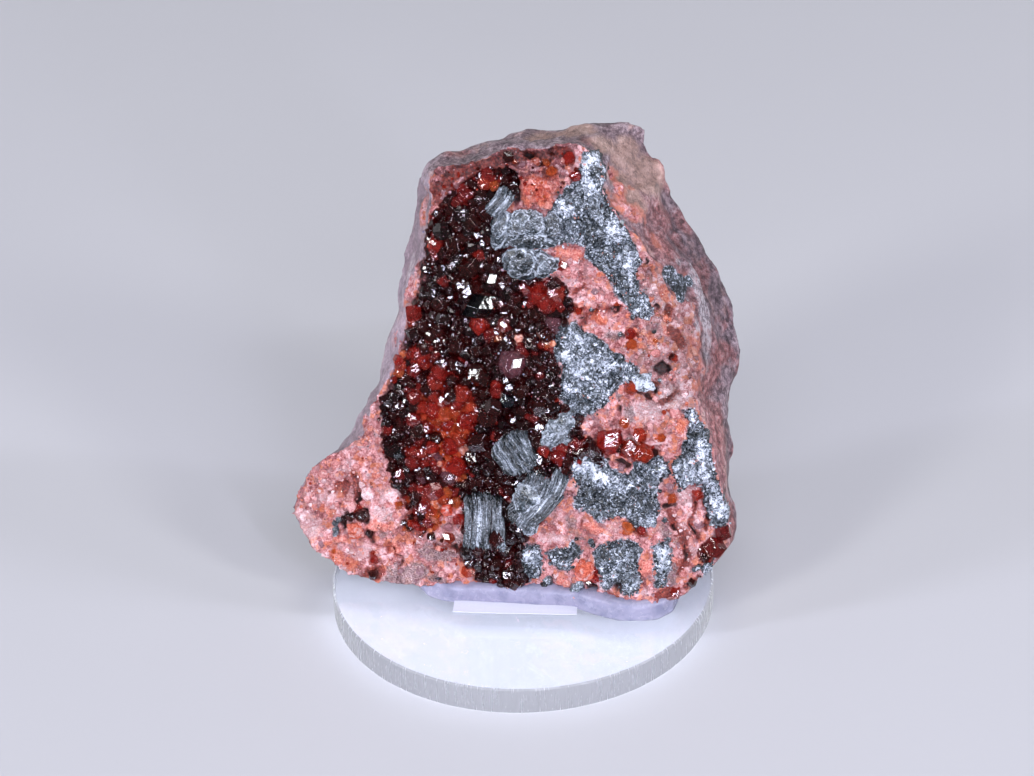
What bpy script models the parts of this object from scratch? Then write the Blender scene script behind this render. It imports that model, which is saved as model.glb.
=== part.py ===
"""Garnet in matrix on a clear acrylic round.

A hand specimen of pink massive grossular with a crust of dark red garnet crystals and books of
grey chlorite, set in a pad of white mineral tack on a round of clear acrylic, with a blank paper
label under the front of the tack.

Units are metres, +Z is up and +Y runs away from the viewer. The origin is the centre of the
acrylic round's underside. The stone is laid out in its own face frame, in millimetres: u runs
right along its front face, v up the face and w into the stone.
"""
import math

import bmesh
import bpy
from mathutils import Matrix, Vector, noise

MM = 0.001

# Acrylic round
BASE_DIAMETER = 63.5
BASE_THICKNESS = 4.76
BASE_EDGE = 0.3
GAP = 0.3  # kept between pieces that touch

# Pose of the stone's face frame on the round
FACE_ORIGIN = (0.0, -8.2, 6.6)
FACE_LEAN_DEG = 21.0
FACE_YAW_DEG = -7.0
STONE_FLOOR_Z = 6.3  # the stone's underside, in the tack

# Label
LABEL_SIZE = (20.4, 8.6, 0.2)
LABEL_CENTRE = (-1.15, -6.85)
LABEL_YAW_DEG = -5.1

STONE_VOXEL = 1.3
STONE_TRIANGLES = 2700

# The outline of the front face, where it breaks over into the sides: (u, v, w)
FRONT_EDGE = [
    (-15.5, 70.5, 0.5), (-9.5, 71.5, 0.3), (-3.5, 73.5, 0.3), (2.5, 74.5, 0.3), (8.0, 75.2, 0.5),
    (10.0, 73.5, 0.5), (11.2, 69.0, 0.4), (12.5, 66.5, 0.4), (15.5, 62.5, 0.3), (18.5, 58.5, 0.2),
    (21.2, 54.0, 0.0), (23.8, 49.5, 0.0), (25.5, 44.5, 0.0), (26.3, 39.0, 0.0), (27.8, 33.0, 0.0),
    (30.0, 28.5, 0.2), (31.0, 23.0, 0.4), (32.8, 17.5, 1.0), (34.2, 12.5, 2.5), (33.2, 9.5, 2.0),
    (30.8, 5.0, 0.5), (27.2, 1.2, -0.8), (22.5, -0.4, -1.6), (16.0, -0.9, -1.7), (9.5, -0.4, -0.8),
    (1.0, 0.1, 0.0), (-8.0, 0.8, 0.3), (-15.5, 0.7, 0.8), (-18.0, -0.2, 1.0), (-22.0, 0.3, 1.0),
    (-29.4, 1.2, 1.6), (-32.8, 3.2, 2.0), (-36.2, 5.8, 2.8), (-38.6, 8.8, 3.8), (-40.4, 12.6, 5.0),
    (-38.4, 17.0, 4.4), (-35.4, 20.2, 3.7), (-32.0, 21.8, 3.0), (-29.0, 24.2, 2.6),
    (-27.0, 27.0, 2.2), (-25.3, 30.1, 1.8), (-23.8, 33.5, 1.6), (-22.2, 37.7, 1.4),
    (-21.0, 41.9, 1.2), (-19.6, 47.4, 1.0), (-18.2, 51.0, 1.0), (-17.6, 58.5, 1.0),
    (-17.0, 61.0, 1.0), (-16.2, 64.5, 0.8), (-16.6, 67.2, 0.8),
]

# The widest outline, part way through the stone: (u, v, w)
GIRTH = [
    (-17.8, 70.4, 6.5), (-15.2, 71.6, 9.5), (-11.2, 72.5, 11.5), (-5.2, 74.0, 12.5),
    (-2.5, 75.0, 13.0), (1.0, 76.0, 13.0), (3.5, 76.5, 13.0), (6.5, 77.0, 13.0),
    (12.6, 77.0, 13.5), (16.8, 76.0, 13.5), (19.0, 73.0, 13.5), (20.8, 70.0, 13.5),
    (22.0, 66.2, 14.0), (22.6, 64.6, 14.0), (24.0, 61.0, 14.0), (27.5, 58.2, 14.0),
    (29.0, 54.5, 14.5), (32.0, 49.8, 14.5), (33.0, 46.0, 14.5), (32.5, 43.0, 14.5),
    (33.6, 39.5, 14.5), (34.0, 37.0, 14.5), (33.2, 33.5, 14.0), (32.4, 29.5, 13.5),
    (33.8, 24.5, 12.5), (33.3, 19.0, 11.0), (34.6, 15.0, 10.0), (35.0, 12.0, 9.0),
    (33.8, 8.8, 8.0), (31.2, 5.0, 8.0), (27.2, 2.4, 8.0),
    (22.0, 1.6, 8.5), (16.0, 1.6, 9.0), (9.0, 1.8, 9.0), (1.0, 2.0, 9.0), (-8.0, 2.4, 9.0),
    (-16.0, 2.4, 8.5), (-22.0, 2.6, 8.0), (-29.0, 4.4, 7.5), (-34.8, 7.4, 7.5),
    (-38.4, 12.4, 7.8), (-36.4, 17.4, 7.8), (-33.2, 20.8, 8.0), (-29.4, 25.0, 8.0),
    (-27.4, 31.0, 8.0), (-25.4, 34.0, 8.0), (-24.2, 38.0, 8.0), (-23.8, 41.5, 8.0),
    (-22.9, 46.5, 8.0), (-22.9, 49.5, 8.0), (-22.3, 54.0, 8.0), (-21.3, 57.5, 8.0),
    (-20.4, 60.0, 8.0), (-20.3, 64.0, 8.0), (-19.2, 67.5, 7.5),
]

# The broken back of the stone: (u, v, w)
BACK_EDGE = [
    (-13.5, 64.5, 17.0), (-4.0, 69.0, 19.0), (6.0, 71.0, 20.0), (12.5, 69.0, 20.5),
    (18.0, 61.0, 22.0), (23.5, 51.0, 24.0), (27.0, 40.0, 26.0), (28.0, 30.0, 27.0),
    (28.5, 20.0, 27.0), (27.0, 12.0, 26.0), (20.0, 9.0, 26.0), (8.0, 9.0, 27.0),
    (-6.0, 10.0, 26.0), (-16.0, 11.0, 23.5), (-26.0, 12.5, 19.0), (-29.5, 17.5, 15.5),
    (-22.5, 29.0, 17.0), (-19.5, 40.0, 17.5), (-17.5, 54.0, 17.0),
]
FACE_CENTRE = (3.0, 34.0)  # every outline is seen whole from here
STATIONS = 120

# Planes that broke the back and sides: point (u, v, w) and outward direction
FRACTURES = [
    ((23.5, 61.5, 16.5), (0.72, 0.42, 0.55)),
    ((-20.0, 42.0, 18.0), (-0.50, 0.30, 0.80)),
    ((0.0, 68.5, 19.5), (-0.10, 0.62, 0.78)),
    ((29.5, 22.0, 22.0), (0.70, -0.15, 0.70)),
    ((-28.0, 16.0, 16.0), (-0.35, -0.25, 0.90)),
    ((4.0, 30.0, 27.5), (0.05, -0.10, 1.00)),
]

# Swells and hollows of the front face: (u, v, radius, rise towards the viewer)
RELIEF = [
    (-9.0, 44.0, 13.0, -1.5), (-10.0, 26.0, 9.0, -0.8), (12.0, 62.0, 8.0, 1.3),
    (14.0, 36.0, 9.0, 1.2), (16.0, 20.0, 8.0, 1.2), (22.0, 28.0, 7.0, 0.6),
    (-28.0, 12.0, 8.0, 0.8), (-6.0, 12.0, 5.0, -0.8), (2.0, 7.0, 5.0, -1.0),
    (18.0, 4.0, 8.0, 0.6), (2.0, 66.0, 5.0, 0.8), (29.0, 10.0, 6.0, 0.4),
]

# The druse: the crust of garnet crystals, by its outline (u, v)
DRUSE = [
    (-14.2, 62.8), (-12.9, 65.4), (-10.0, 67.6), (-7.6, 68.8), (-5.4, 69.6), (-2.9, 69.2),
    (-2.6, 67.4), (-5.6, 64.8), (-6.6, 62.6), (-6.4, 58.9), (-4.6, 57.0), (-4.6, 54.4),
    (-2.9, 52.2), (0.4, 51.6), (3.4, 52.0), (5.2, 50.6), (6.0, 48.2), (4.6, 45.8), (2.9, 44.0),
    (2.9, 41.0), (3.4, 37.8), (3.6, 35.2), (4.0, 32.4), (5.4, 30.0), (7.8, 28.9), (9.2, 27.4),
    (10.4, 26.0), (8.2, 25.4), (6.4, 23.6), (5.4, 21.8), (3.4, 21.0), (0.8, 20.2), (-1.9, 18.4),
    (-3.0, 15.8), (-2.8, 13.0), (-1.8, 10.6), (-1.6, 8.0), (-1.8, 5.1), (-0.9, 2.6), (-4.4, 2.2),
    (-7.0, 2.8), (-8.8, 4.8), (-9.8, 7.4), (-10.3, 15.2), (-11.5, 15.0), (-13.4, 13.2),
    (-16.1, 11.4), (-18.1, 12.6), (-19.4, 15.1), (-20.6, 17.6), (-21.4, 20.4), (-22.0, 23.4),
    (-22.6, 27.3), (-22.2, 31.8), (-20.8, 37.4), (-19.6, 40.8), (-18.2, 44.7), (-16.8, 49.7),
    (-16.2, 55.2), (-15.8, 60.2),
]
DRUSE_DEPTH = 4.2

# Larger garnets on the druse: (u, v, radius, turn)
DRUSE_GARNETS = [
    (-7.0, 48.0, 2.5, 12), (-8.1, 43.8, 1.9, 40), (-2.4, 38.2, 2.8, 25), (-12.6, 50.6, 2.4, 70),
    (-14.8, 44.6, 2.0, 15), (-11.8, 40.2, 2.2, 55), (-7.6, 36.0, 2.3, 5), (-13.4, 34.6, 2.4, 33),
    (-17.6, 33.4, 2.0, 61), (-17.4, 27.6, 2.2, 8), (-12.2, 28.4, 2.3, 45), (-7.6, 29.6, 2.1, 21),
    (-2.6, 32.6, 2.1, 77), (0.8, 28.8, 2.1, 10), (-13.8, 22.0, 2.3, 18), (-8.6, 23.6, 2.2, 52),
    (-10.0, 19.4, 1.9, 34), (-14.6, 16.6, 1.8, 66), (-2.2, 43.2, 2.0, 14), (-9.4, 55.4, 2.2, 29),
    (-12.2, 58.6, 2.0, 48), (-9.4, 61.4, 2.0, 3), (-6.0, 67.6, 1.5, 37), (-10.4, 65.0, 1.8, 58),
    (-2.6, 47.2, 1.9, 22), (1.6, 48.6, 1.9, 9), (-17.8, 22.6, 1.9, 41), (-4.4, 28.6, 1.8, 26),
    (0.2, 34.4, 1.9, 63), (-3.4, 4.6, 1.5, 44), (5.6, 24.2, 1.4, 11),
    (-20.0, 30.6, 1.8, 27), (-18.4, 38.4, 1.7, 61), (-1.2, 20.6, 1.4, 31),
]

# Garnets set apart in the pink rock: name, then (u, v, radius, turn) of each crystal of a group
LONE_GARNETS = {
    "garnets_mid_right": [(13.9, 26.3, 1.9, 15), (16.5, 25.3, 1.6, 50), (18.9, 24.9, 1.7, 30)],
    "garnet_round": [(18.8, 28.3, 1.1, 20)],
    "garnets_low_right": [(30.9, 9.0, 1.9, 20), (32.3, 11.2, 1.3, 55)],
    "garnet_base": [(10.3, 4.6, 2.1, 10)],
    "garnets_left_point": [(-29.9, 11.0, 1.6, 35), (-27.3, 11.6, 1.5, 5), (-26.4, 9.2, 1.4, 25)],
}

# Chlorite. A book is a stack of leaves: (u, v, half length, half width, rise, turn, lean)
CHLORITE_BOOKS = {
    "chlorite_book_top": (-4.8, 62.6, 4.3, 1.5, 2.0, 94, 10),
    "chlorite_book_upper": (-0.2, 61.8, 2.8, 2.3, 2.0, 8, 8),
    "chlorite_book_middle": (0.3, 55.4, 4.0, 2.2, 1.8, -12, 6),
    "chlorite_book_knob": (5.5, 27.6, 2.5, 2.4, 2.0, 30, 10),
    "chlorite_book_slant": (-1.6, 24.1, 3.3, 2.3, 2.4, -38, 12),
    "chlorite_book_tall": (-6.7, 11.8, 4.9, 3.1, 2.6, 88, 10),
    "chlorite_book_curl": (0.9, 15.5, 4.3, 3.0, 2.2, 80, 6),
    "chlorite_book_bright": (19.2, 36.6, 2.2, 1.6, 1.4, 20, 6),
}

FELT_RISE = 0.7
# Chlorite felts: low patches of fine leaves, by outline (u, v)
CHLORITE_FELTS = {
    "chlorite_felt_top": [(8.6, 72.6), (10.2, 72.4), (11.4, 70.6), (11.9, 68.8), (11.4, 66.8), (13.2, 64.2),
                          (15.0, 61.8), (16.8, 59.0), (17.9, 56.2), (17.2, 53.0), (19.2, 50.2), (20.0, 48.4),
                          (18.7, 46.9), (16.8, 47.6), (14.1, 51.4), (12.7, 53.8), (9.2, 56.4), (9.3, 58.3),
                          (7.4, 58.8), (5.3, 58.2), (3.7, 58.9), (3.4, 61.2), (3.4, 63.3), (4.6, 66.1),
                          (7.8, 69.2)],
    "chlorite_felt_centre": [(4.4, 42.8), (5.8, 44.6), (7.4, 45.6), (9.3, 44.2), (11.8, 43.1), (14.0, 40.9),
                             (16.8, 39.4), (16.2, 37.4), (14.8, 36.2), (14.1, 34.4), (12.5, 32.3),
                             (10.9, 31.1), (8.5, 30.6), (6.6, 31.6), (5.4, 33.5), (5.0, 36.0)],
    "chlorite_felt_wide": [(7.4, 22.4), (8.8, 23.4), (10.6, 23.8), (13.0, 22.9), (14.7, 21.3), (17.1, 21.0),
                           (19.6, 22.0), (22.4, 22.2), (22.6, 20.4), (21.6, 17.8), (21.8, 15.3), (21.4, 13.3),
                           (19.8, 12.1), (17.8, 12.5), (16.5, 14.1), (13.9, 13.7), (11.9, 13.9), (8.8, 15.2),
                           (8.1, 16.7), (7.6, 20.0)],
    "chlorite_felt_edge": [(26.0, 31.4), (27.2, 31.6), (28.2, 29.6), (29.4, 27.8), (30.1, 22.9), (31.2, 19.4),
                           (32.6, 16.0), (33.0, 14.2), (32.2, 12.7), (30.6, 12.8), (29.6, 15.8), (28.6, 18.9),
                           (25.4, 19.4), (25.0, 22.6), (25.6, 24.6), (26.3, 27.0)],
    "chlorite_felt_base": [(13.1, 8.8), (14.4, 9.5), (15.8, 10.0), (18.0, 9.6), (19.0, 8.2), (18.8, 6.4),
                           (19.4, 3.3), (18.6, 1.9), (17.0, 1.7), (15.7, 3.6), (14.3, 3.6), (13.6, 2.4),
                           (12.9, 3.2), (13.0, 6.4)],
    "chlorite_felt_foot": [(0.1, 7.5), (1.9, 7.9), (2.7, 6.2), (2.5, 3.8), (1.2, 2.7), (0.2, 3.5), (-0.1, 5.5)],
    "chlorite_felt_dark": [(4.2, 6.9), (5.6, 7.6), (7.3, 8.1), (8.3, 9.0), (9.2, 8.2), (8.0, 6.0), (6.9, 4.5),
                           (5.4, 5.2)],
    "chlorite_felt_low": [(21.5, 9.3), (23.0, 9.9), (24.1, 8.6), (23.7, 6.2), (23.4, 3.2), (22.3, 3.4),
                          (21.8, 5.6)],
}

COLOURS = {
    "matrix": ((0.56, 0.27, 0.22), 0.55), "garnet": ((0.13, 0.008, 0.004), 0.08),
    "chlorite": ((0.28, 0.33, 0.35), 0.35), "tack": ((0.83, 0.82, 0.86), 0.35),
    "label": ((0.86, 0.85, 0.88), 0.7), "acrylic": ((0.92, 0.94, 0.95), 0.04),
}


def face_matrix():
    """Face frame in millimetres to world metres: columns are u, v and w."""
    lean, yaw = math.radians(FACE_LEAN_DEG), math.radians(FACE_YAW_DEG)
    back = Vector((-math.sin(yaw), math.cos(yaw), 0.0))
    u = Vector((math.cos(yaw), math.sin(yaw), 0.0))
    v = math.sin(lean) * back + Vector((0.0, 0.0, math.cos(lean)))
    w = math.cos(lean) * back - Vector((0.0, 0.0, math.sin(lean)))
    turn = Matrix((u, v, w)).transposed().to_4x4()
    return Matrix.Translation(Vector(FACE_ORIGIN) * MM) @ turn @ Matrix.Scale(MM, 4)


FACE = face_matrix()


def clear_scene():
    for obj in list(bpy.data.objects):
        bpy.data.objects.remove(obj, do_unlink=True)


def collection(name):
    made = bpy.data.collections.new(name)
    bpy.context.scene.collection.children.link(made)
    return made


def material(name):
    made = bpy.data.materials.get(name)
    if made is None:
        made = bpy.data.materials.new(name)
        made.use_nodes = True
        bsdf = made.node_tree.nodes["Principled BSDF"]
        colour, rough = COLOURS[name]
        bsdf.inputs["Base Color"].default_value = (*colour, 1.0)
        bsdf.inputs["Roughness"].default_value = rough
        bsdf.inputs["Metallic"].default_value = 0.0
        if name == "acrylic":
            bsdf.inputs["Transmission Weight"].default_value = 1.0
            bsdf.inputs["IOR"].default_value = 1.49
    return made


def object_from(bm, name, where, finish=None):
    mesh = bpy.data.meshes.new(name)
    bm.to_mesh(mesh)
    bm.free()
    obj = bpy.data.objects.new(name, mesh)
    where.objects.link(obj)
    if finish:
        mesh.materials.append(material(finish))
    return obj


def helper(obj):
    obj.hide_render = True
    obj.display_type = "WIRE"
    return obj


def settle(obj):
    """Replaces the object's mesh by its evaluated one, with every modifier applied."""
    graph = bpy.context.evaluated_depsgraph_get()
    graph.update()
    made = bpy.data.meshes.new_from_object(obj.evaluated_get(graph))
    obj.modifiers.clear()
    old = obj.data
    obj.data = made
    bpy.data.meshes.remove(old)
    return obj


def boolean(obj, other, operation):
    step = obj.modifiers.new(operation.title(), "BOOLEAN")
    step.operation = operation
    step.object = other
    step.solver = "EXACT"
    return settle(obj)


def tidy(obj):
    """Welds the slivers that Booleans leave."""
    bm = bmesh.new()
    bm.from_mesh(obj.data)
    bmesh.ops.remove_doubles(bm, verts=bm.verts, dist=0.02 * MM)
    bmesh.ops.dissolve_degenerate(bm, edges=bm.edges, dist=0.01 * MM)
    bmesh.ops.triangulate(bm, faces=bm.faces)
    bm.to_mesh(obj.data)
    bm.free()
    return obj


def keep_largest(obj):
    """Drops the crumbs that a cut leaves beside the main body."""
    bm = bmesh.new()
    bm.from_mesh(obj.data)
    left, groups = set(bm.verts), []
    while left:
        todo, group = [left.pop()], set()
        while todo:
            vert = todo.pop()
            group.add(vert)
            for edge in vert.link_edges:
                other = edge.other_vert(vert)
                if other in left:
                    left.remove(other)
                    todo.append(other)
        groups.append(group)
    groups.sort(key=len)
    crumbs = [vert for group in groups[:-1] for vert in group]
    bmesh.ops.delete(bm, geom=crumbs, context="VERTS")
    bm.to_mesh(obj.data)
    bm.free()
    return obj


def ring(outline, turns):
    """The outline read at even turns round the face's centre, as (u, v, w)."""
    cu, cv = FACE_CENTRE
    found = []
    for turn in turns:
        du, dv = math.cos(turn), math.sin(turn)
        best = None
        for a, b in zip(outline, outline[1:] + outline[:1]):
            ax, ay, bx, by = a[0] - cu, a[1] - cv, b[0] - cu, b[1] - cv
            ex, ey = bx - ax, by - ay
            cross = du * ey - dv * ex
            if abs(cross) < 1e-9:
                continue
            reach = (ax * ey - ay * ex) / cross
            share = (ax * dv - ay * du) / cross
            if reach > 0 and -1e-6 <= share <= 1 + 1e-6 and (best is None or reach > best[0]):
                best = (reach, a[2] + (b[2] - a[2]) * share)
        found.append(Vector((cu + du * best[0], cv + dv * best[0], best[1])))
    return found


def relief(u, v):
    return sum(rise * math.exp(-((u - a) ** 2 + (v - b) ** 2) / (r * r)) for a, b, r, rise in RELIEF)


def stone_blank(where, voxel):
    """The whole stone before anything is let into it: a loft through its three outlines, broken by the fracture planes."""
    turns = [2 * math.pi * k / STATIONS for k in range(STATIONS)]
    front, girth, back = (ring(outline, turns) for outline in (FRONT_EDGE, GIRTH, BACK_EDGE))
    rings = []
    for share in (0.25, 0.5, 0.75, 0.92):
        centre = Vector((*FACE_CENTRE, 0.0))
        rings.append([centre.lerp(Vector((p.x, p.y, p.z * share * share / max(share, 0.01))), share) for p in front])
    rings.append(front)
    rings.append([a.lerp(b, 0.45) + 0.35 * Vector((b.x - FACE_CENTRE[0], b.y - FACE_CENTRE[1], 0)).normalized() for a, b in zip(front, girth)])
    rings.append(girth)
    rings.append([a.lerp(b, 0.5) + 0.6 * Vector((a.x - FACE_CENTRE[0], a.y - FACE_CENTRE[1], 0)).normalized() for a, b in zip(girth, back)])
    rings.append(back)
    for share in (0.65, 0.3):
        centre = Vector((*FACE_CENTRE, 24.5))
        rings.append([centre.lerp(Vector((p.x, p.y, p.z + (24.5 - p.z) * (1 - share) * 0.8)), share) for p in back])
    bm = bmesh.new()
    levels = [[bm.verts.new(p) for p in one] for one in rings]
    first = bm.verts.new((*FACE_CENTRE, 0.0))
    last = bm.verts.new((*FACE_CENTRE, 25.5))
    for a, b in zip(levels, levels[1:]):
        for k in range(STATIONS):
            j = (k + 1) % STATIONS
            bm.faces.new((a[k], a[j], b[j], b[k]))
    for k in range(STATIONS):
        j = (k + 1) % STATIONS
        bm.faces.new((first, levels[0][j], levels[0][k]))
        bm.faces.new((last, levels[-1][k], levels[-1][j]))
    for point, outward in FRACTURES:
        cut = bmesh.ops.bisect_plane(bm, geom=bm.verts[:] + bm.edges[:] + bm.faces[:], plane_co=point,
                                     plane_no=Vector(outward).normalized(), clear_outer=True, dist=1e-5)
        rim = [item for item in cut["geom_cut"] if isinstance(item, bmesh.types.BMEdge)]
        bmesh.ops.holes_fill(bm, edges=rim, sides=0)
    # the underside is level with the round, so it is cut across the face frame
    down = FACE.to_3x3().inverted() @ Vector((0, 0, -1))
    at = FACE.inverted() @ Vector((0, 0, STONE_FLOOR_Z * MM))
    cut = bmesh.ops.bisect_plane(bm, geom=bm.verts[:] + bm.edges[:] + bm.faces[:], plane_co=at,
                                 plane_no=down.normalized(), clear_outer=True, dist=1e-5)
    rim = [item for item in cut["geom_cut"] if isinstance(item, bmesh.types.BMEdge)]
    bmesh.ops.holes_fill(bm, edges=rim, sides=0)
    bmesh.ops.recalc_face_normals(bm, faces=bm.faces)
    bmesh.ops.triangulate(bm, faces=bm.faces)
    obj = object_from(bm, "stone_blank", where)
    remesh = obj.modifiers.new("Even", "REMESH")
    remesh.mode = "VOXEL"
    remesh.voxel_size = voxel
    settle(obj)
    shape_stone(obj)
    return obj


def shape_stone(obj):
    """Swells the front face and roughens the broken stone, still in the face frame and millimetres."""
    mesh = obj.data
    normals = [vert.normal.copy() for vert in mesh.vertices]
    floor = FACE.to_3x3().inverted() @ Vector((0, 0, 1))
    floor.normalize()
    for vert, normal in zip(mesh.vertices, normals):
        p = vert.co.copy()
        facing = max(0.0, -normal.z)
        resting = max(0.0, -normal.dot(floor))
        inside = min(1.0, max(0.0, (5.0 - p.z) / 4.0))
        p.z -= relief(p.x, p.y) * facing * inside
        rough = 0.85 * noise.noise(p / 9.0 + Vector((3.1, 7.7, 1.9)))
        rough += 0.45 * noise.noise(p / 3.4 + Vector((11.3, 2.2, 5.5)))
        cells = noise.voronoi(p / 7.5 + Vector((4.0, 1.0, 8.0)))[0]
        rough += (0.75 - 0.35 * facing) * (0.5 - cells[0])
        p += normal * rough * (1.0 - 0.8 * resting)
        vert.co = p
    mesh.update()


def to_world(obj):
    """Face frame to world. The face frame is left handed (w runs inwards), so the faces turn over."""
    obj.data.transform(FACE)
    obj.data.flip_normals()
    obj.data.update()
    return obj


def prism(outline, w_front, w_back, name, where, grow=0.0, finish=None):
    """A patch's outline extruded through the face, as a filled 2D curve with half its thickness as extrude, made a mesh."""
    curve = bpy.data.curves.new(name, "CURVE")
    curve.dimensions = "2D"
    curve.fill_mode = "BOTH"
    spline = curve.splines.new("POLY")
    spline.use_cyclic_u = True
    spline.points.add(len(outline) - 1)
    area = sum(a[0] * b[1] - b[0] * a[1] for a, b in zip(outline, outline[1:] + outline[:1]))
    turn = 1.0 if area > 0 else -1.0
    count = len(outline)
    for k, (u, v) in enumerate(outline):
        before, after = outline[k - 1], outline[(k + 1) % count]
        edge_in = Vector((u - before[0], v - before[1])).normalized()
        edge_out = Vector((after[0] - u, after[1] - v)).normalized()
        out_a, out_b = Vector((edge_in.y, -edge_in.x)) * turn, Vector((edge_out.y, -edge_out.x)) * turn
        away = (out_a + out_b)
        away = away / max(0.35, away.length_squared / 2.0)
        spline.points[k].co = (u + away.x * grow, v + away.y * grow, 0.0, 1.0)
    curve.extrude = (w_back - w_front) / 2.0
    made = bpy.data.objects.new(name + "_outline", curve)
    where.objects.link(made)
    made.location.z = (w_back + w_front) / 2.0
    bpy.context.view_layer.update()
    graph = bpy.context.evaluated_depsgraph_get()
    mesh = bpy.data.meshes.new_from_object(made.evaluated_get(graph))
    mesh.transform(made.matrix_world)
    bpy.data.objects.remove(made, do_unlink=True)
    bm = bmesh.new()
    bm.from_mesh(mesh)
    bpy.data.meshes.remove(mesh)
    bmesh.ops.remove_doubles(bm, verts=bm.verts, dist=1e-4)
    bmesh.ops.recalc_face_normals(bm, faces=bm.faces)
    return object_from(bm, name, where, finish)


def face_w(u, v):
    """Depth of the front face at (u, v)."""
    return -relief(u, v)


def garnet(u, v, radius, turn, sink=0.35):
    """One garnet as a bmesh: a rhombic dodecahedron, cut from a cube by the planes of its twelve faces."""
    bm = bmesh.new()
    bmesh.ops.create_cube(bm, size=radius * 4.0)
    for a in (-1, 1):
        for b in (-1, 1):
            for flat in ((a, b, 0), (a, 0, b), (0, a, b)):
                outward = Vector(flat).normalized()
                cut = bmesh.ops.bisect_plane(bm, geom=bm.verts[:] + bm.edges[:] + bm.faces[:],
                                             plane_co=outward * radius, plane_no=outward,
                                             clear_outer=True, dist=1e-6)
                rim = [item for item in cut["geom_cut"] if isinstance(item, bmesh.types.BMEdge)]
                if rim:
                    bmesh.ops.holes_fill(bm, edges=rim, sides=0)
    bmesh.ops.remove_doubles(bm, verts=bm.verts, dist=1e-3 * radius)
    spin = (Matrix.Rotation(math.radians(turn), 4, "Z") @ Matrix.Rotation(math.radians(turn * 1.7 + 20), 4, "X")
            @ Matrix.Rotation(math.radians(turn * 0.9), 4, "Y"))
    at = Matrix.Translation((u, v, face_w(u, v) - radius * (0.5 - sink)))
    bmesh.ops.transform(bm, matrix=at @ spin, verts=bm.verts)
    bmesh.ops.recalc_face_normals(bm, faces=bm.faces)
    return bm


def garnet_group(name, crystals, where, helpers, base):
    """Crystals grown together, joined with the slab that roots them."""
    for k, (u, v, radius, turn) in enumerate(crystals):
        one = helper(object_from(garnet(u, v, radius, turn), f"{name}_crystal_{k}", helpers))
        boolean(base, one, "UNION")
        bpy.data.objects.remove(one, do_unlink=True)
    return base


def book(name, spec, where, grow=0.0, finish=None):
    """A chlorite book: a stack of leaves with a six-sided outline, leaning out of the face."""
    u, v, half_length, half_width, rise, turn, lean = spec
    depth_in = 1.8
    bm = bmesh.new()
    bmesh.ops.create_cone(bm, cap_ends=True, segments=6, radius1=1.0, radius2=0.9,
                          depth=rise + depth_in + 2 * grow)
    bmesh.ops.scale(bm, vec=(half_length + grow * 1.2, half_width + grow * 1.2, 1.0), verts=bm.verts)
    # the cone's narrow end points out of the face, towards -w
    bmesh.ops.rotate(bm, matrix=Matrix.Rotation(math.pi, 3, "X"), verts=bm.verts)
    bmesh.ops.rotate(bm, matrix=Matrix.Rotation(math.radians(lean), 3, "Y"), verts=bm.verts)
    bmesh.ops.rotate(bm, matrix=Matrix.Rotation(math.radians(turn), 3, "Z"), verts=bm.verts)
    bmesh.ops.translate(bm, vec=(u, v, face_w(u, v) + (depth_in - rise) / 2.0), verts=bm.verts)
    bmesh.ops.recalc_face_normals(bm, faces=bm.faces)
    return object_from(bm, name, where, finish)


def disc():
    bm = bmesh.new()
    bmesh.ops.create_cone(bm, cap_ends=True, segments=96, radius1=BASE_DIAMETER / 2 * MM,
                          radius2=BASE_DIAMETER / 2 * MM, depth=BASE_THICKNESS * MM)
    bmesh.ops.translate(bm, vec=(0, 0, BASE_THICKNESS / 2 * MM), verts=bm.verts)
    obj = object_from(bm, "acrylic_round", PARTS, "acrylic")
    bevel = obj.modifiers.new("Edge", "BEVEL")
    bevel.width = BASE_EDGE * MM
    bevel.segments = 1
    bevel.limit_method = "ANGLE"
    bevel.angle_limit = math.radians(60)
    obj.data.shade_smooth()
    obj.data.set_sharp_from_angle(angle=math.radians(30))
    return obj


def label(grow=0.0, name="paper_label", where=None, finish="label"):
    bm = bmesh.new()
    bmesh.ops.create_cube(bm, size=1.0)
    x, y, z = LABEL_SIZE
    bmesh.ops.scale(bm, vec=((x + 2 * grow) * MM, (y + 2 * grow) * MM, (z + 2 * grow) * MM), verts=bm.verts)
    bmesh.ops.rotate(bm, matrix=Matrix.Rotation(math.radians(LABEL_YAW_DEG), 3, "Z"), verts=bm.verts)
    bmesh.ops.translate(bm, vec=(LABEL_CENTRE[0] * MM, LABEL_CENTRE[1] * MM,
                                 (BASE_THICKNESS + GAP + z / 2) * MM), verts=bm.verts)
    return object_from(bm, name, where or PARTS, finish)


# The tack's outline on the round, pressed out under the stone's front: (x, y)
TACK_EDGE = [
    (-17.6, -2.6), (-15.6, -5.2), (-12.4, -6.9), (-8.0, -7.5), (-3.0, -8.1), (3.0, -8.8),
    (8.2, -9.6), (12.0, -12.0), (15.6, -13.6), (19.0, -14.0), (22.2, -13.4), (24.6, -11.4),
    (25.4, -8.0), (24.4, -3.6), (21.0, 1.0), (16.0, 5.0), (9.0, 8.6), (1.0, 10.4), (-7.0, 9.8),
    (-13.0, 7.0), (-17.0, 2.4),
]
TACK_HEIGHT = 3.2


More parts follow.
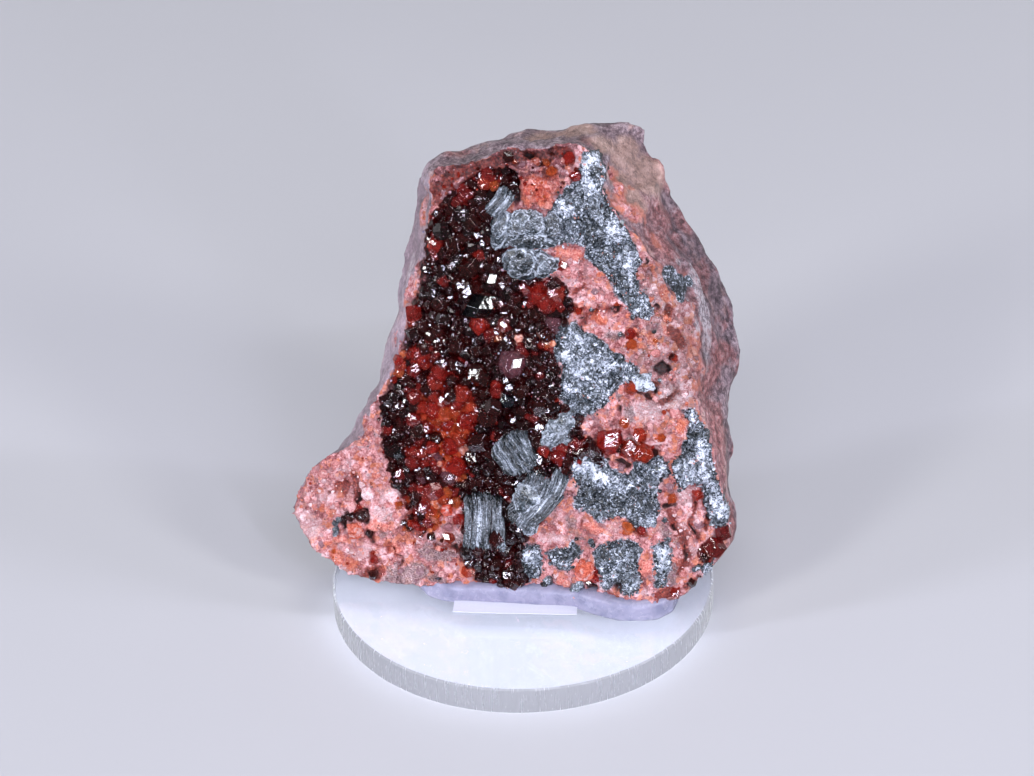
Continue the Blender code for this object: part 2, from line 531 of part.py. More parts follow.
def tack(stone):
    bm = bmesh.new()
    low, high = (BASE_THICKNESS - 2.0) * MM, (BASE_THICKNESS + TACK_HEIGHT) * MM
    face = bm.faces.new([bm.verts.new((x * MM, y * MM, low)) for x, y in TACK_EDGE])
    grown = bmesh.ops.extrude_face_region(bm, geom=[face])
    top = [item for item in grown["geom"] if isinstance(item, bmesh.types.BMVert)]
    bmesh.ops.translate(bm, vec=(0, 0, high - low), verts=top)
    bmesh.ops.recalc_face_normals(bm, faces=bm.faces)
    whole = object_from(bm, "tack_blank", HELPERS)
    remesh = whole.modifiers.new("Even", "REMESH")
    remesh.mode = "VOXEL"
    remesh.voxel_size = 0.7 * MM
    smooth = whole.modifiers.new("Pressed", "SMOOTH")
    smooth.factor = 0.5
    smooth.iterations = 10
    fewer = whole.modifiers.new("Fewer", "DECIMATE")
    fewer.ratio = 0.07
    settle(whole)
    # level with the round, with its gap
    bm = bmesh.new()
    bmesh.ops.create_cube(bm, size=1.0)
    bmesh.ops.scale(bm, vec=(0.2, 0.2, 0.05), verts=bm.verts)
    bmesh.ops.translate(bm, vec=(0, 0, (BASE_THICKNESS + GAP) * MM - 0.025), verts=bm.verts)
    floor = helper(object_from(bm, "tack_floor", HELPERS))
    boolean(whole, floor, "DIFFERENCE")
    # the stone's print in the tack, a gap larger all round
    bed = helper(bpy.data.objects.new("stone_print", stone.data.copy()))
    HELPERS.objects.link(bed)
    swell = bed.modifiers.new("Gap", "DISPLACE")
    swell.direction = "NORMAL"
    swell.mid_level = 0.0
    swell.strength = 1.3 * GAP * MM
    settle(bed)
    boolean(whole, bed, "DIFFERENCE")
    slot = helper(label(GAP, "label_print", HELPERS, None))
    boolean(whole, slot, "DIFFERENCE")
    keep_largest(tidy(whole))
    whole.name = "mineral_tack"
    whole.data.materials.clear()
    whole.data.materials.append(material("tack"))
    HELPERS.objects.unlink(whole)
    PARTS.objects.link(whole)
    return whole


clear_scene()
PARTS = collection("garnet_in_matrix")
HELPERS = collection("cutters")

# The stone
stone = stone_blank(HELPERS, STONE_VOXEL)
fewer = stone.modifiers.new("Fewer", "DECIMATE")
settle(stone)
stone.modifiers.new("Fewer", "DECIMATE").ratio = STONE_TRIANGLES / 2.0 / max(1, len(stone.data.polygons))
settle(stone)
whole_stone = helper(bpy.data.objects.new("whole_stone", stone.data.copy()))
HELPERS.objects.link(whole_stone)

# The druse: a layer of the face with its crystals, let into the stone
druse = prism(DRUSE, -6.0, DRUSE_DEPTH - GAP, "garnet_druse", HELPERS)
boolean(druse, whole_stone, "INTERSECT")
pocket = helper(prism(DRUSE, -6.0, DRUSE_DEPTH, "druse_pocket", HELPERS, GAP))
boolean(stone, pocket, "DIFFERENCE")
garnet_group("garnet_druse", DRUSE_GARNETS, PARTS, HELPERS, druse)
# no crystal reaches past the druse's pocket
limit = helper(prism(DRUSE, -8.0, DRUSE_DEPTH - GAP, "druse_limit", HELPERS))
boolean(druse, limit, "INTERSECT")

# the felts stand a little proud of the stone, so each is cut from a swollen copy of it
skin = helper(bpy.data.objects.new("stone_skin", whole_stone.data.copy()))
HELPERS.objects.link(skin)
swell = skin.modifiers.new("Proud", "DISPLACE")
swell.direction = "NORMAL"
swell.mid_level = 0.0
swell.strength = FELT_RISE
settle(skin)
felts = {}
for name, outline in CHLORITE_FELTS.items():
    middle_w = sum(face_w(u, v) for u, v in outline) / len(outline)
    felt = prism(outline, middle_w - 6.0, middle_w + 1.5, name, HELPERS)
    boolean(felt, skin, "INTERSECT")
    seat = helper(prism(outline, middle_w - 5.0, middle_w + 1.5 + GAP, name + "_seat", HELPERS, GAP))
    boolean(stone, seat, "DIFFERENCE")
    felts[name] = felt

groups = {}
for name, crystals in LONE_GARNETS.items():
    base = None
    for k, (u, v, radius, turn) in enumerate(crystals):
        one = object_from(garnet(u, v, radius, turn, 0.75), name if k == 0 else f"{name}_{k}", HELPERS)
        if base is None:
            base = one
        else:
            boolean(base, helper(one), "UNION")
            bpy.data.objects.remove(one, do_unlink=True)
    groups[name] = base
    for k, (u, v, radius, turn) in enumerate(crystals):
        seat = helper(object_from(garnet(u, v, radius + GAP, turn, 0.75 - 0.25 * GAP / radius), f"{name}_seat_{k}", HELPERS))
        seat.data.transform(Matrix.Translation((0, 0, GAP * 0.25)))
        for other in [stone, *felts.values()]:
            boolean(other, seat, "DIFFERENCE")

books = {}
for name, spec in CHLORITE_BOOKS.items():
    books[name] = book(name, spec, HELPERS)
    seat = helper(book(name + "_seat", spec, HELPERS, GAP))
    boolean(stone, seat, "DIFFERENCE")
    boolean(druse, seat, "DIFFERENCE")
    for felt in felts.values():
        boolean(felt, seat, "DIFFERENCE")

for obj in list(felts.values()) + list(groups.values()):
    tidy(obj)
keep_largest(tidy(stone))
keep_largest(tidy(druse))
stone.name = "matrix_stone"
for obj, finish in [(stone, "matrix"), (druse, "garnet")] + [(o, "garnet") for o in groups.values()] + [
        (o, "chlorite") for o in list(felts.values()) + list(books.values())]:
    to_world(obj)
    obj.data.materials.clear()
    obj.data.materials.append(material(finish))
    HELPERS.objects.unlink(obj)
    PARTS.objects.link(obj)
to_world(whole_stone)

disc()
label()
tack(whole_stone)
HELPERS.hide_render = True
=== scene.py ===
"""Looks for the garnet in matrix on its acrylic round."""
import math
import random

import bmesh
import bpy
import numpy as np
from mathutils import Matrix, Vector, noise
from mathutils.bvhtree import BVHTree


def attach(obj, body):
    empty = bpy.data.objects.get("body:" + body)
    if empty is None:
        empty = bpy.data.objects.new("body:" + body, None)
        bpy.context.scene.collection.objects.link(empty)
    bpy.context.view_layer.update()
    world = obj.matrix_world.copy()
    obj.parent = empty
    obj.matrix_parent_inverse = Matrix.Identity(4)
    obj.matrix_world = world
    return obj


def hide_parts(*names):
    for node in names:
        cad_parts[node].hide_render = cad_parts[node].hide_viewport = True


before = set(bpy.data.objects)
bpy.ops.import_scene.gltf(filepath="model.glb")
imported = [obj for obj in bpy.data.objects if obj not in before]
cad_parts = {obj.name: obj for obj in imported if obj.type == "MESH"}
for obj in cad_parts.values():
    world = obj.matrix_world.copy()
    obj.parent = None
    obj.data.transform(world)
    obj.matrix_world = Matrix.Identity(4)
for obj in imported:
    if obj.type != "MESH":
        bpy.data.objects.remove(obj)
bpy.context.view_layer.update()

MM = 0.001
BASE_DIAMETER = 63.5
BASE_THICKNESS = 4.76
FACE_ORIGIN = (0.0, -8.2, 6.6)
FACE_LEAN_DEG = 21.0
FACE_YAW_DEG = -7.0
STONE_FLOOR_Z = 6.3
FACE_CENTRE = (3.0, 34.0)
STATIONS = 120
STONE_VOXEL = 0.50

# ---------------------------------------------------------------- the stone's design, as in the CAD (u, v, w in mm)
FRONT_EDGE = [
    (-15.5, 70.5, 0.5), (-9.5, 71.5, 0.3), (-3.5, 73.5, 0.3), (2.5, 74.5, 0.3), (8.0, 75.2, 0.5),
    (10.0, 73.5, 0.5), (11.2, 69.0, 0.4), (12.5, 66.5, 0.4), (15.5, 62.5, 0.3), (18.5, 58.5, 0.2),
    (21.2, 54.0, 0.0), (23.8, 49.5, 0.0), (25.5, 44.5, 0.0), (26.3, 39.0, 0.0), (27.8, 33.0, 0.0),
    (30.0, 28.5, 0.2), (31.0, 23.0, 0.4), (32.8, 17.5, 1.0), (34.2, 12.5, 2.5), (33.2, 9.5, 2.0),
    (30.8, 5.0, 0.5), (27.2, 1.2, -0.8), (22.5, -0.4, -1.6), (16.0, -0.9, -1.7), (9.5, -0.4, -0.8),
    (1.0, 0.1, 0.0), (-8.0, 0.8, 0.3), (-15.5, 0.7, 0.8), (-18.0, -0.2, 1.0), (-22.0, 0.3, 1.0),
    (-29.4, 1.2, 1.6), (-32.8, 3.2, 2.0), (-36.2, 5.8, 2.8), (-38.6, 8.8, 3.8), (-40.4, 12.6, 5.0),
    (-38.4, 17.0, 4.4), (-35.4, 20.2, 3.7), (-32.0, 21.8, 3.0), (-29.0, 24.2, 2.6),
    (-27.0, 27.0, 2.2), (-25.3, 30.1, 1.8), (-23.8, 33.5, 1.6), (-22.2, 37.7, 1.4),
    (-21.0, 41.9, 1.2), (-19.6, 47.4, 1.0), (-18.2, 51.0, 1.0), (-17.6, 58.5, 1.0),
    (-17.0, 61.0, 1.0), (-16.2, 64.5, 0.8), (-16.6, 67.2, 0.8),
]
GIRTH = [
    (-17.8, 70.4, 6.5), (-15.2, 71.6, 9.5), (-11.2, 72.5, 11.5), (-5.2, 74.0, 12.5),
    (-2.5, 75.0, 13.0), (1.0, 76.0, 13.0), (3.5, 76.5, 13.0), (6.5, 77.0, 13.0),
    (12.6, 77.0, 13.5), (16.8, 76.0, 13.5), (19.0, 73.0, 13.5), (20.8, 70.0, 13.5),
    (22.0, 66.2, 14.0), (22.6, 64.6, 14.0), (24.0, 61.0, 14.0), (27.5, 58.2, 14.0),
    (29.0, 54.5, 14.5), (32.0, 49.8, 14.5), (33.0, 46.0, 14.5), (32.5, 43.0, 14.5),
    (33.6, 39.5, 14.5), (34.0, 37.0, 14.5), (33.2, 33.5, 14.0), (32.4, 29.5, 13.5),
    (33.8, 24.5, 12.5), (33.3, 19.0, 11.0), (34.6, 15.0, 10.0), (35.0, 12.0, 9.0),
    (33.8, 8.8, 8.0), (31.2, 5.0, 8.0), (27.2, 2.4, 8.0),
    (22.0, 1.6, 8.5), (16.0, 1.6, 9.0), (9.0, 1.8, 9.0), (1.0, 2.0, 9.0), (-8.0, 2.4, 9.0),
    (-16.0, 2.4, 8.5), (-22.0, 2.6, 8.0), (-29.0, 4.4, 7.5), (-34.8, 7.4, 7.5),
    (-38.4, 12.4, 7.8), (-36.4, 17.4, 7.8), (-33.2, 20.8, 8.0), (-29.4, 25.0, 8.0),
    (-27.4, 31.0, 8.0), (-25.4, 34.0, 8.0), (-24.2, 38.0, 8.0), (-23.8, 41.5, 8.0),
    (-22.9, 46.5, 8.0), (-22.9, 49.5, 8.0), (-22.3, 54.0, 8.0), (-21.3, 57.5, 8.0),
    (-20.4, 60.0, 8.0), (-20.3, 64.0, 8.0), (-19.2, 67.5, 7.5),
]
BACK_EDGE = [
    (-13.5, 64.5, 17.0), (-4.0, 69.0, 19.0), (6.0, 71.0, 20.0), (12.5, 69.0, 20.5),
    (18.0, 61.0, 22.0), (23.5, 51.0, 24.0), (27.0, 40.0, 26.0), (28.0, 30.0, 27.0),
    (28.5, 20.0, 27.0), (27.0, 12.0, 26.0), (20.0, 9.0, 26.0), (8.0, 9.0, 27.0),
    (-6.0, 10.0, 26.0), (-16.0, 11.0, 23.5), (-26.0, 12.5, 19.0), (-29.5, 17.5, 15.5),
    (-22.5, 29.0, 17.0), (-19.5, 40.0, 17.5), (-17.5, 54.0, 17.0),
]
FRACTURES = [
    ((23.5, 61.5, 16.5), (0.72, 0.42, 0.55)),
    ((-20.0, 42.0, 18.0), (-0.50, 0.30, 0.80)),
    ((0.0, 68.5, 19.5), (-0.10, 0.62, 0.78)),
    ((29.5, 22.0, 22.0), (0.70, -0.15, 0.70)),
    ((-28.0, 16.0, 16.0), (-0.35, -0.25, 0.90)),
    ((4.0, 30.0, 27.5), (0.05, -0.10, 1.00)),
]
RELIEF = [
    (-9.0, 44.0, 13.0, -1.5), (-10.0, 26.0, 9.0, -0.8), (12.0, 62.0, 8.0, 1.3),
    (14.0, 36.0, 9.0, 1.2), (16.0, 20.0, 8.0, 1.2), (22.0, 28.0, 7.0, 0.6),
    (-28.0, 12.0, 8.0, 0.8), (-6.0, 12.0, 5.0, -0.8), (2.0, 7.0, 5.0, -1.0),
    (18.0, 4.0, 8.0, 0.6), (2.0, 66.0, 5.0, 0.8), (29.0, 10.0, 6.0, 0.4),
]
DRUSE = [
    (-14.5, 63.0), (-12.9, 65.8), (-10.0, 68.0), (-7.6, 69.2), (-5.4, 70.1), (-2.7, 69.9), (-2.0, 67.6),
    (-4.0, 66.1), (-5.3, 64.8), (-6.3, 62.7), (-6.4, 58.9), (-4.4, 57.3), (-4.4, 54.6), (-2.7, 52.4), (0.6, 52.0),
    (3.6, 52.6), (5.5, 51.1), (6.5, 48.4), (5.6, 46.1), (3.7, 44.4), (3.8, 41.1), (4.5, 37.8), (4.7, 35.6),
    (5.1, 32.8), (6.4, 30.7), (8.3, 29.9), (9.0, 27.7), (10.9, 25.3), (12.0, 22.8), (9.8, 24.1), (7.9, 22.8),
    (6.6, 21.5), (4.1, 21.1), (0.8, 20.1), (-1.9, 18.1), (-3.0, 15.8), (-2.8, 13.0), (-1.7, 11.0), (-0.2, 10.0),
    (-0.8, 8.0), (-1.1, 5.1), (-0.2, 2.4), (-1.1, 1.6), (-4.4, 1.5), (-7.2, 2.3), (-8.9, 4.5), (-9.7, 7.0),
    (-10.1, 15.5), (-11.5, 15.4), (-13.4, 13.4), (-16.1, 11.0), (-18.1, 12.3), (-19.4, 15.1), (-20.6, 17.3),
    (-21.8, 20.1), (-22.9, 22.8), (-23.7, 27.3), (-23.4, 31.8), (-22.2, 37.4), (-20.9, 40.8), (-19.5, 44.7),
    (-18.2, 49.7), (-18.2, 55.2), (-17.5, 60.2), (-16.2, 62.1),
]
FELTS = {
    "chlorite_felt_top": [
        (8.4, 73.6), (10.1, 73.9), (11.7, 72.2), (12.3, 69.8), (11.8, 67.1), (13.5, 64.4), (15.4, 61.8),
        (17.1, 59.1), (18.3, 56.2), (17.2, 54.0), (17.8, 52.4), (19.5, 50.2), (20.1, 48.1), (18.7, 46.7),
        (16.8, 47.4), (15.4, 49.3), (14.1, 51.4), (12.7, 53.8), (10.7, 55.4), (9.1, 56.7), (9.3, 58.3), (7.4, 58.8),
        (5.3, 58.2), (3.7, 58.7), (3.1, 60.9), (3.0, 63.3), (4.3, 66.3), (6.2, 68.0), (7.8, 69.4), (8.0, 71.6),
    ],
    "chlorite_felt_centre": [
        (4.2, 43.0), (5.5, 44.8), (7.4, 45.9), (9.3, 44.4), (11.8, 43.3), (14.0, 41.1), (16.5, 39.6), (18.4, 38.4),
        (17.1, 36.4), (14.9, 36.3), (14.1, 34.4), (12.5, 32.3), (10.9, 30.9), (8.5, 30.3), (6.6, 31.3), (5.4, 33.5),
        (5.0, 36.0), (5.9, 37.7), (4.6, 39.8),
    ],
    "chlorite_felt_wide": [
        (7.5, 22.6), (8.7, 23.9), (10.6, 24.5), (13.0, 23.3), (14.7, 21.3), (17.1, 21.0), (18.4, 23.6), (21.3, 24.4),
        (23.4, 23.5), (23.5, 21.0), (22.4, 20.1), (21.6, 17.8), (21.9, 15.3), (21.6, 13.1), (19.8, 11.7),
        (17.8, 12.3), (16.5, 14.1), (13.9, 13.5), (11.9, 13.7), (8.8, 15.1), (8.1, 16.7), (9.0, 18.4), (7.7, 20.3),
    ],
    "chlorite_felt_edge": [
        (25.8, 32.0), (27.3, 32.5), (28.2, 29.9), (29.9, 28.3), (30.5, 22.9), (31.6, 19.4), (33.2, 16.0),
        (33.8, 13.9), (32.6, 12.3), (30.3, 12.4), (29.8, 15.6), (28.8, 19.1), (27.4, 20.1), (25.6, 18.4),
        (24.6, 19.4), (24.2, 22.8), (25.2, 24.6), (26.3, 27.0), (26.5, 29.8),
    ],
    "chlorite_felt_base": [
        (11.5, 8.0), (12.6, 9.2), (14.2, 9.7), (15.8, 10.4), (18.0, 9.9), (19.2, 8.4), (18.8, 6.4), (19.6, 3.3),
        (19.0, 1.9), (17.4, 1.4), (16.2, 1.6), (15.7, 3.2), (14.9, 3.1), (14.1, 1.7), (12.9, 2.4), (13.0, 4.2),
        (11.8, 5.8),
    ],
    "chlorite_felt_low": [
        (21.5, 9.5), (23.1, 10.3), (24.4, 8.8), (23.9, 6.2), (23.6, 2.8), (22.2, 3.1), (21.7, 5.6),
    ],
    "chlorite_felt_foot": [
        (-0.1, 7.7), (1.9, 8.2), (2.9, 6.2), (2.7, 3.6), (1.2, 2.4), (-0.1, 3.3), (-0.6, 5.5),
    ],
    "chlorite_felt_dark": [
        (3.8, 6.9), (5.6, 7.8), (7.3, 8.1), (8.3, 9.4), (9.6, 8.2), (8.9, 6.8), (8.0, 5.6), (6.9, 4.1), (5.9, 4.8),
        (4.6, 5.5),
    ],
    "chlorite_felt_corner": [
        (31.9, 7.0), (32.0, 5.3), (30.2, 3.7), (29.2, 4.7), (29.6, 6.0),
    ],
}
LONE_GARNETS = {
    "garnets_mid_right": [(13.8, 26.4, 1.9, "red"), (17.2, 25.2, 1.5, "blood"), (19.2, 24.9, 1.5, "blood")],
    "garnet_round": [(18.8, 28.0, 1.05, "blood")],
    "garnets_low_right": [(30.8, 9.0, 1.8, "wine"), (32.4, 11.4, 1.2, "wine"), (29.6, 7.4, 0.9, "dark")],
    "garnet_base": [(10.2, 4.6, 1.65, "salmon")],
    "garnets_left_point": [(-30.3, 10.8, 1.0, "dark"), (-29.0, 11.7, 1.3, "dark"), (-27.1, 11.8, 1.2, "dark"), (-26.3, 9.0, 0.9, "dark"),
                           (-27.9, 12.9, 0.8, "red"), (-28.3, 9.5, 1.2, "salmon")],
}
TACK_EDGE = [
    (-17.6, -2.6), (-15.6, -5.2), (-12.4, -6.9), (-8.0, -7.5), (-3.0, -8.1), (3.0, -8.8),
    (8.2, -9.6), (12.0, -12.0), (15.6, -13.6), (19.0, -14.0), (22.2, -13.4), (24.6, -11.4),
    (25.4, -8.0), (24.4, -3.6), (21.0, 1.0), (16.0, 5.0), (9.0, 8.6), (1.0, 10.4), (-7.0, 9.8),
    (-13.0, 7.0), (-17.0, 2.4),
]
TACK_HEIGHT = 3.2
LABEL_SIZE = (20.4, 8.6, 0.2)
LABEL_CENTRE = (-1.15, -6.85)
LABEL_YAW_DEG = -5.1

# Places on the face where the rock changes, each an oval: (u, v, half width, half height, turn in degrees)
SPOTS = {
    "red": [
        (16.9, 44.4, 1.3, 0.9, 0), (7.6, 47.9, 2.4, 0.7, 10), (23.5, 40.9, 0.8, 0.7, 0), (28.8, 18.7, 0.6, 2.2, -25), (8.2, 51.0, 1.6, 0.5, 30),
        (-30.2, 16.4, 1.4, 0.9, 40), (-25.1, 2.1, 1.8, 1.3, 0), (-25.1, 4.6, 0.9, 1.3, 0), (-21.5, 17.6, 1.1, 1.1, 0), (-18.6, 13.6, 1.3, 4.6, 8),
        (-17.5, 17.4, 2.0, 2.2, 0), (-18.8, 23.1, 1.2, 1.0, 0), (-17.9, 10.2, 2.2, 1.7, 0), (-5.0, 71.6, 3.2, 0.9, 20), (6.0, 72.5, 1.2, 1.0, 0),
        (1.4, 73.0, 2.6, 0.8, 10), (-8.4, 69.3, 2.4, 0.9, 25), (2.3, 12.3, 0.9, 0.8, 0), (19.1, 11.7, 1.7, 0.7, -20), (32.6, 11.4, 1.0, 1.9, 30),
        (30.8, 8.9, 2.3, 1.6, 20), (14.3, 0.1, 2.6, 0.7, 5), (24.0, 1.6, 2.6, 1.1, 15), (27.6, 2.9, 1.6, 0.9, 30), (25.6, 6.0, 0.7, 1.2, 0),
        (-8.6, 71.0, 4.6, 2.0, 12), (-2.8, 72.6, 3.8, 1.2, 8), (4.0, 73.0, 3.0, 1.0, 5), (-14.6, 66.2, 1.8, 2.8, -28), (-4.0, 69.0, 2.0, 1.6, 0), (-12.6, 69.4, 2.2, 1.3, 35),
        (5.2, 55.0, 1.2, 0.8, 20), (20.4, 36.2, 1.4, 0.6, 25), (-19.9, 11.4, 0.8, 1.0, 0), (-17.1, 48.6, 0.7, 2.4, 12), (-10.2, 6.4, 1.0, 1.8, 0),
        (9.7, 12.4, 0.5, 0.9, 0), (24.4, 44.0, 1.2, 2.4, 25), (22.6, 48.2, 0.9, 1.2, 20), (7.9, 70.2, 1.0, 0.8, 0), (2.0, 0.9, 3.2, 0.6, 0),
    ],
    "orange": [
        (17.8, 42.7, 2.0, 0.9, -10), (20.2, 44.1, 1.5, 1.0, -35), (16.1, 29.7, 1.3, 0.9, 0), (22.1, 27.7, 1.5, 0.7, -10), (24.0, 17.0, 1.2, 0.8, 0),
        (24.4, 22.2, 0.9, 0.8, 0), (20.5, 34.4, 1.3, 0.6, 20), (-28.9, 3.4, 1.5, 0.8, 20), (-30.0, 13.8, 1.1, 0.5, 0), (-33.7, 12.6, 0.9, 0.5, 0),
        (-33.1, 6.6, 1.3, 0.6, -10), (-27.5, 20.9, 1.1, 0.8, 0), (-25.1, 18.8, 1.0, 0.7, 0), (-13.3, 16.6, 1.3, 1.3, 0), (-14.7, 12.5, 2.2, 1.5, 20),
        (-19.9, 11.1, 0.9, 0.7, 0), (-10.6, 19.1, 0.9, 0.9, 0), (-7.5, 1.8, 0.7, 0.5, 0), (2.4, 71.7, 0.8, 0.6, 0), (3.2, 70.2, 1.5, 1.0, 0),
        (4.4, 57.6, 0.7, 1.1, 0), (16.6, 11.8, 1.1, 0.4, -8), (17.1, 57.5, 0.7, 0.7, 0), (-16.3, 58.3, 0.8, 3.0, 5), (-18.6, 45.6, 0.7, 2.9, -20),
        (-11.6, 15.6, 1.3, 1.9, 0), (-22.0, 24.6, 0.9, 1.2, 0), (-15.7, 20.4, 1.4, 1.0, 0), (-31.4, 4.8, 1.5, 1.4, 40), (-29.6, 3.8, 1.6, 0.8, 30),
        (16.4, 11.6, 1.0, 0.4, 0), (21.8, 27.0, 1.4, 0.5, 0), (12.3, 32.3, 1.2, 0.7, 0), (11.4, 46.8, 1.3, 1.2, 0),
        (1.2, 68.2, 2.4, 1.7, 0), (2.6, 66.2, 1.6, 1.2, 0), (-0.6, 65.6, 1.2, 1.0, 0), (-7.0, 68.6, 1.0, 0.7, 20), (22.0, 51.2, 0.7, 2.2, 32), (20.3, 54.8, 0.7, 1.6, 30), (25.2, 29.0, 0.8, 1.9, 8),
    ],
    "pale": [
        (-36.8, 9.8, 2.9, 2.4, -30), (-33.6, 14.6, 2.2, 1.2, 40), (-24.0, 12.4, 2.0, 1.4, 0), (23.5, 34.0, 2.6, 2.2, 0), (19.5, 31.7, 2.8, 1.9, 0),
        (5.4, 9.6, 2.4, 1.1, 0), (14.6, 12.0, 1.4, 0.7, 0), (-22.6, 15.6, 2.6, 1.2, 15), (-12.0, 9.3, 2.0, 0.8, 0), (-27.0, 5.6, 2.4, 1.2, 30),
        (8.4, 49.0, 1.8, 0.8, 0), (12.9, 45.2, 1.2, 0.8, 0), (-5.7, 68.1, 0.7, 0.5, 0),
        (-15.6, 22.3, 1.5, 1.1, 0), (27.2, 12.6, 2.2, 1.6, 20), (26.6, 17.4, 1.8, 1.7, 0), (5.8, 73.9, 1.6, 0.7, 10), (7.0, 26.8, 0.9, 0.5, 0),
        (0.3, 70.4, 1.0, 0.7, 40), (19.2, 51.0, 1.2, 0.7, 20), (21.7, 49.4, 0.6, 1.4, 25), (9.0, 18.9, 0.8, 1.8, 0), (27.9, 8.6, 1.6, 1.0, 15), (31.6, 33.0, 1.0, 3.0, 10),
    ],
    "grey": [
        (-20.3, 1.6, 3.6, 1.6, 8), (-17.0, 3.2, 1.4, 1.1, 0), (-14.3, 2.0, 1.9, 0.9, -10), (-14.3, 6.6, 3.6, 1.7, 5), (-19.4, 21.4, 0.9, 0.8, 0),
        (-16.9, 22.1, 1.1, 1.0, 0), (24.4, 4.6, 1.5, 1.7, 0), (23.2, 11.8, 1.2, 1.0, 0), (13.8, 44.0, 1.4, 0.8, 20), (-25.8, 17.0, 0.5, 0.5, 0),
        (-26.4, 19.1, 0.5, 0.4, 0), (-23.5, 8.5, 0.6, 0.5, 0), (-22.7, 11.7, 0.8, 0.5, 0), (-14.6, 18.6, 1.5, 1.4, 0), (4.1, 44.9, 1.0, 1.6, -10),
        (14.6, 34.0, 1.3, 0.8, 30), (16.8, 31.2, 1.0, 1.6, 0), (17.4, 27.0, 0.9, 0.8, 0), (7.6, 12.2, 0.9, 1.6, 0), (-11.0, 8.2, 1.6, 1.2, 0),
        (25.5, 10.6, 0.9, 1.5, -15), (-21.2, 3.4, 1.0, 0.7, 0), (2.2, 43.4, 0.9, 0.9, 0), (13.2, 22.9, 0.8, 0.6, 0), (9.2, 10.4, 1.1, 0.5, 0),
        (20.4, 45.6, 1.0, 0.6, 0), (26.9, 25.0, 0.5, 1.6, 10),
    ],
    "dark": [
        (16.2, 22.8, 1.3, 0.6, 0), (15.1, 31.5, 0.5, 0.5, 0), (22.2, 38.6, 1.6, 1.4, 0), (23.6, 15.6, 1.2, 0.6, 8), (13.4, 23.5, 0.8, 0.4, 0),
        (-30.5, 10.4, 1.0, 0.9, 0), (-29.2, 11.8, 1.4, 0.9, 30), (-26.7, 11.8, 0.9, 0.9, 0), (-26.1, 8.4, 0.5, 1.3, 10), (-0.4, 72.8, 1.6, 0.5, -20),
        (1.3, 71.2, 0.6, 0.5, 0), (-3.6, 69.4, 1.3, 1.4, 0), (-2.2, 67.0, 0.5, 2.6, 0), (11.4, 2.0, 0.9, 0.9, 0), (15.0, 2.4, 0.9, 1.0, 0),
        (28.4, 5.6, 0.9, 0.4, 0), (9.4, 1.4, 0.7, 0.9, 0), (19.1, 56.3, 0.45, 1.1, -20), (8.4, 46.3, 0.8, 0.3, 0), (21.0, 35.4, 0.7, 0.6, 0),
        (-17.0, 21.0, 0.8, 0.5, 0), (-21.7, 21.9, 1.3, 1.1, 30), (29.9, 13.6, 0.5, 0.7, 0), (28.9, 11.3, 0.3, 0.3, 0), (17.9, 50.3, 0.4, 0.6, 0),
        (-14.3, 1.9, 0.9, 0.4, -10), (23.9, 36.0, 0.4, 0.3, 0), (20.6, 48.8, 0.3, 0.5, 0), (7.0, 29.6, 0.5, 0.4, 0),
    ],
    "peach": [
        (-28.2, 9.5, 1.2, 1.2, 0), (-24.9, 10.6, 1.7, 1.5, 0), (25.4, 29.9, 0.9, 1.6, 0), (12.2, 32.0, 1.1, 0.7, 0), (13.7, 33.7, 0.9, 0.8, 0),
        (15.0, 35.0, 1.0, 0.8, 0), (11.4, 46.6, 1.2, 1.0, 0), (5.9, 57.0, 0.9, 0.7, 0), (7.6, 57.0, 1.4, 1.0, 0), (8.5, 5.5, 0.7, 0.7, 0),
        (6.4, 2.5, 1.4, 1.1, 0), (21.8, 7.9, 0.7, 0.7, 0), (20.5, 5.9, 1.9, 1.4, -20), (25.1, 6.8, 1.4, 0.7, -8), (11.5, 12.0, 1.8, 0.9, 0),
        (-23.5, 9.9, 1.2, 1.0, 0), (-16.1, 19.9, 1.0, 0.9, 0), (0.4, 67.6, 2.0, 1.9, 0), (3.4, 68.7, 1.6, 1.6, 0), (-0.4, 65.3, 1.2, 0.9, 0),
        (2.0, 65.6, 1.3, 1.1, 0), (22.6, 44.9, 1.2, 0.7, -40), (-12.8, 20.6, 0.9, 1.2, 0), (8.4, 33.0, 0.6, 0.8, 0), (26.2, 9.1, 1.2, 0.7, 0),
        (18.7, 47.0, 0.8, 0.7, 0), (-21.5, 6.6, 1.3, 1.0, 0), (-30.6, 7.6, 1.2, 0.9, 0), (15.4, 9.3, 0.9, 0.6, 0), (3.6, 54.2, 0.8, 0.6, 0),
    ],
}
# cracks on the face: half width, then the line
CRACKS = [
    (0.40, [(26.2, 11.6), (26.7, 9.0), (26.6, 6.6)]), (0.30, [(24.0, 14.2), (24.9, 12.4), (25.8, 10.4)]), (0.22, [(-28.4, 18.6), (-28.0, 14.4), (-28.6, 12.4)]),
    (0.22, [(-25.9, 9.6), (-25.5, 7.4)]), (0.22, [(29.6, 17.6), (30.2, 14.6), (29.4, 12.4)]), (0.14, [(-15.0, 7.6), (-12.2, 7.9), (-9.8, 6.0)]),
    (0.14, [(-22.6, 6.8), (-20.4, 5.0), (-20.8, 2.6)]), (0.14, [(8.6, 45.2), (11.2, 48.6), (15.0, 48.4)]), (0.14, [(18.0, 34.8), (21.4, 33.2), (24.8, 35.0)]),
    (0.16, [(-33.0, 15.5), (-30.6, 17.0), (-28.6, 16.4)]), (0.14, [(27.6, 16.0), (27.0, 13.0), (28.6, 10.6)]),
]
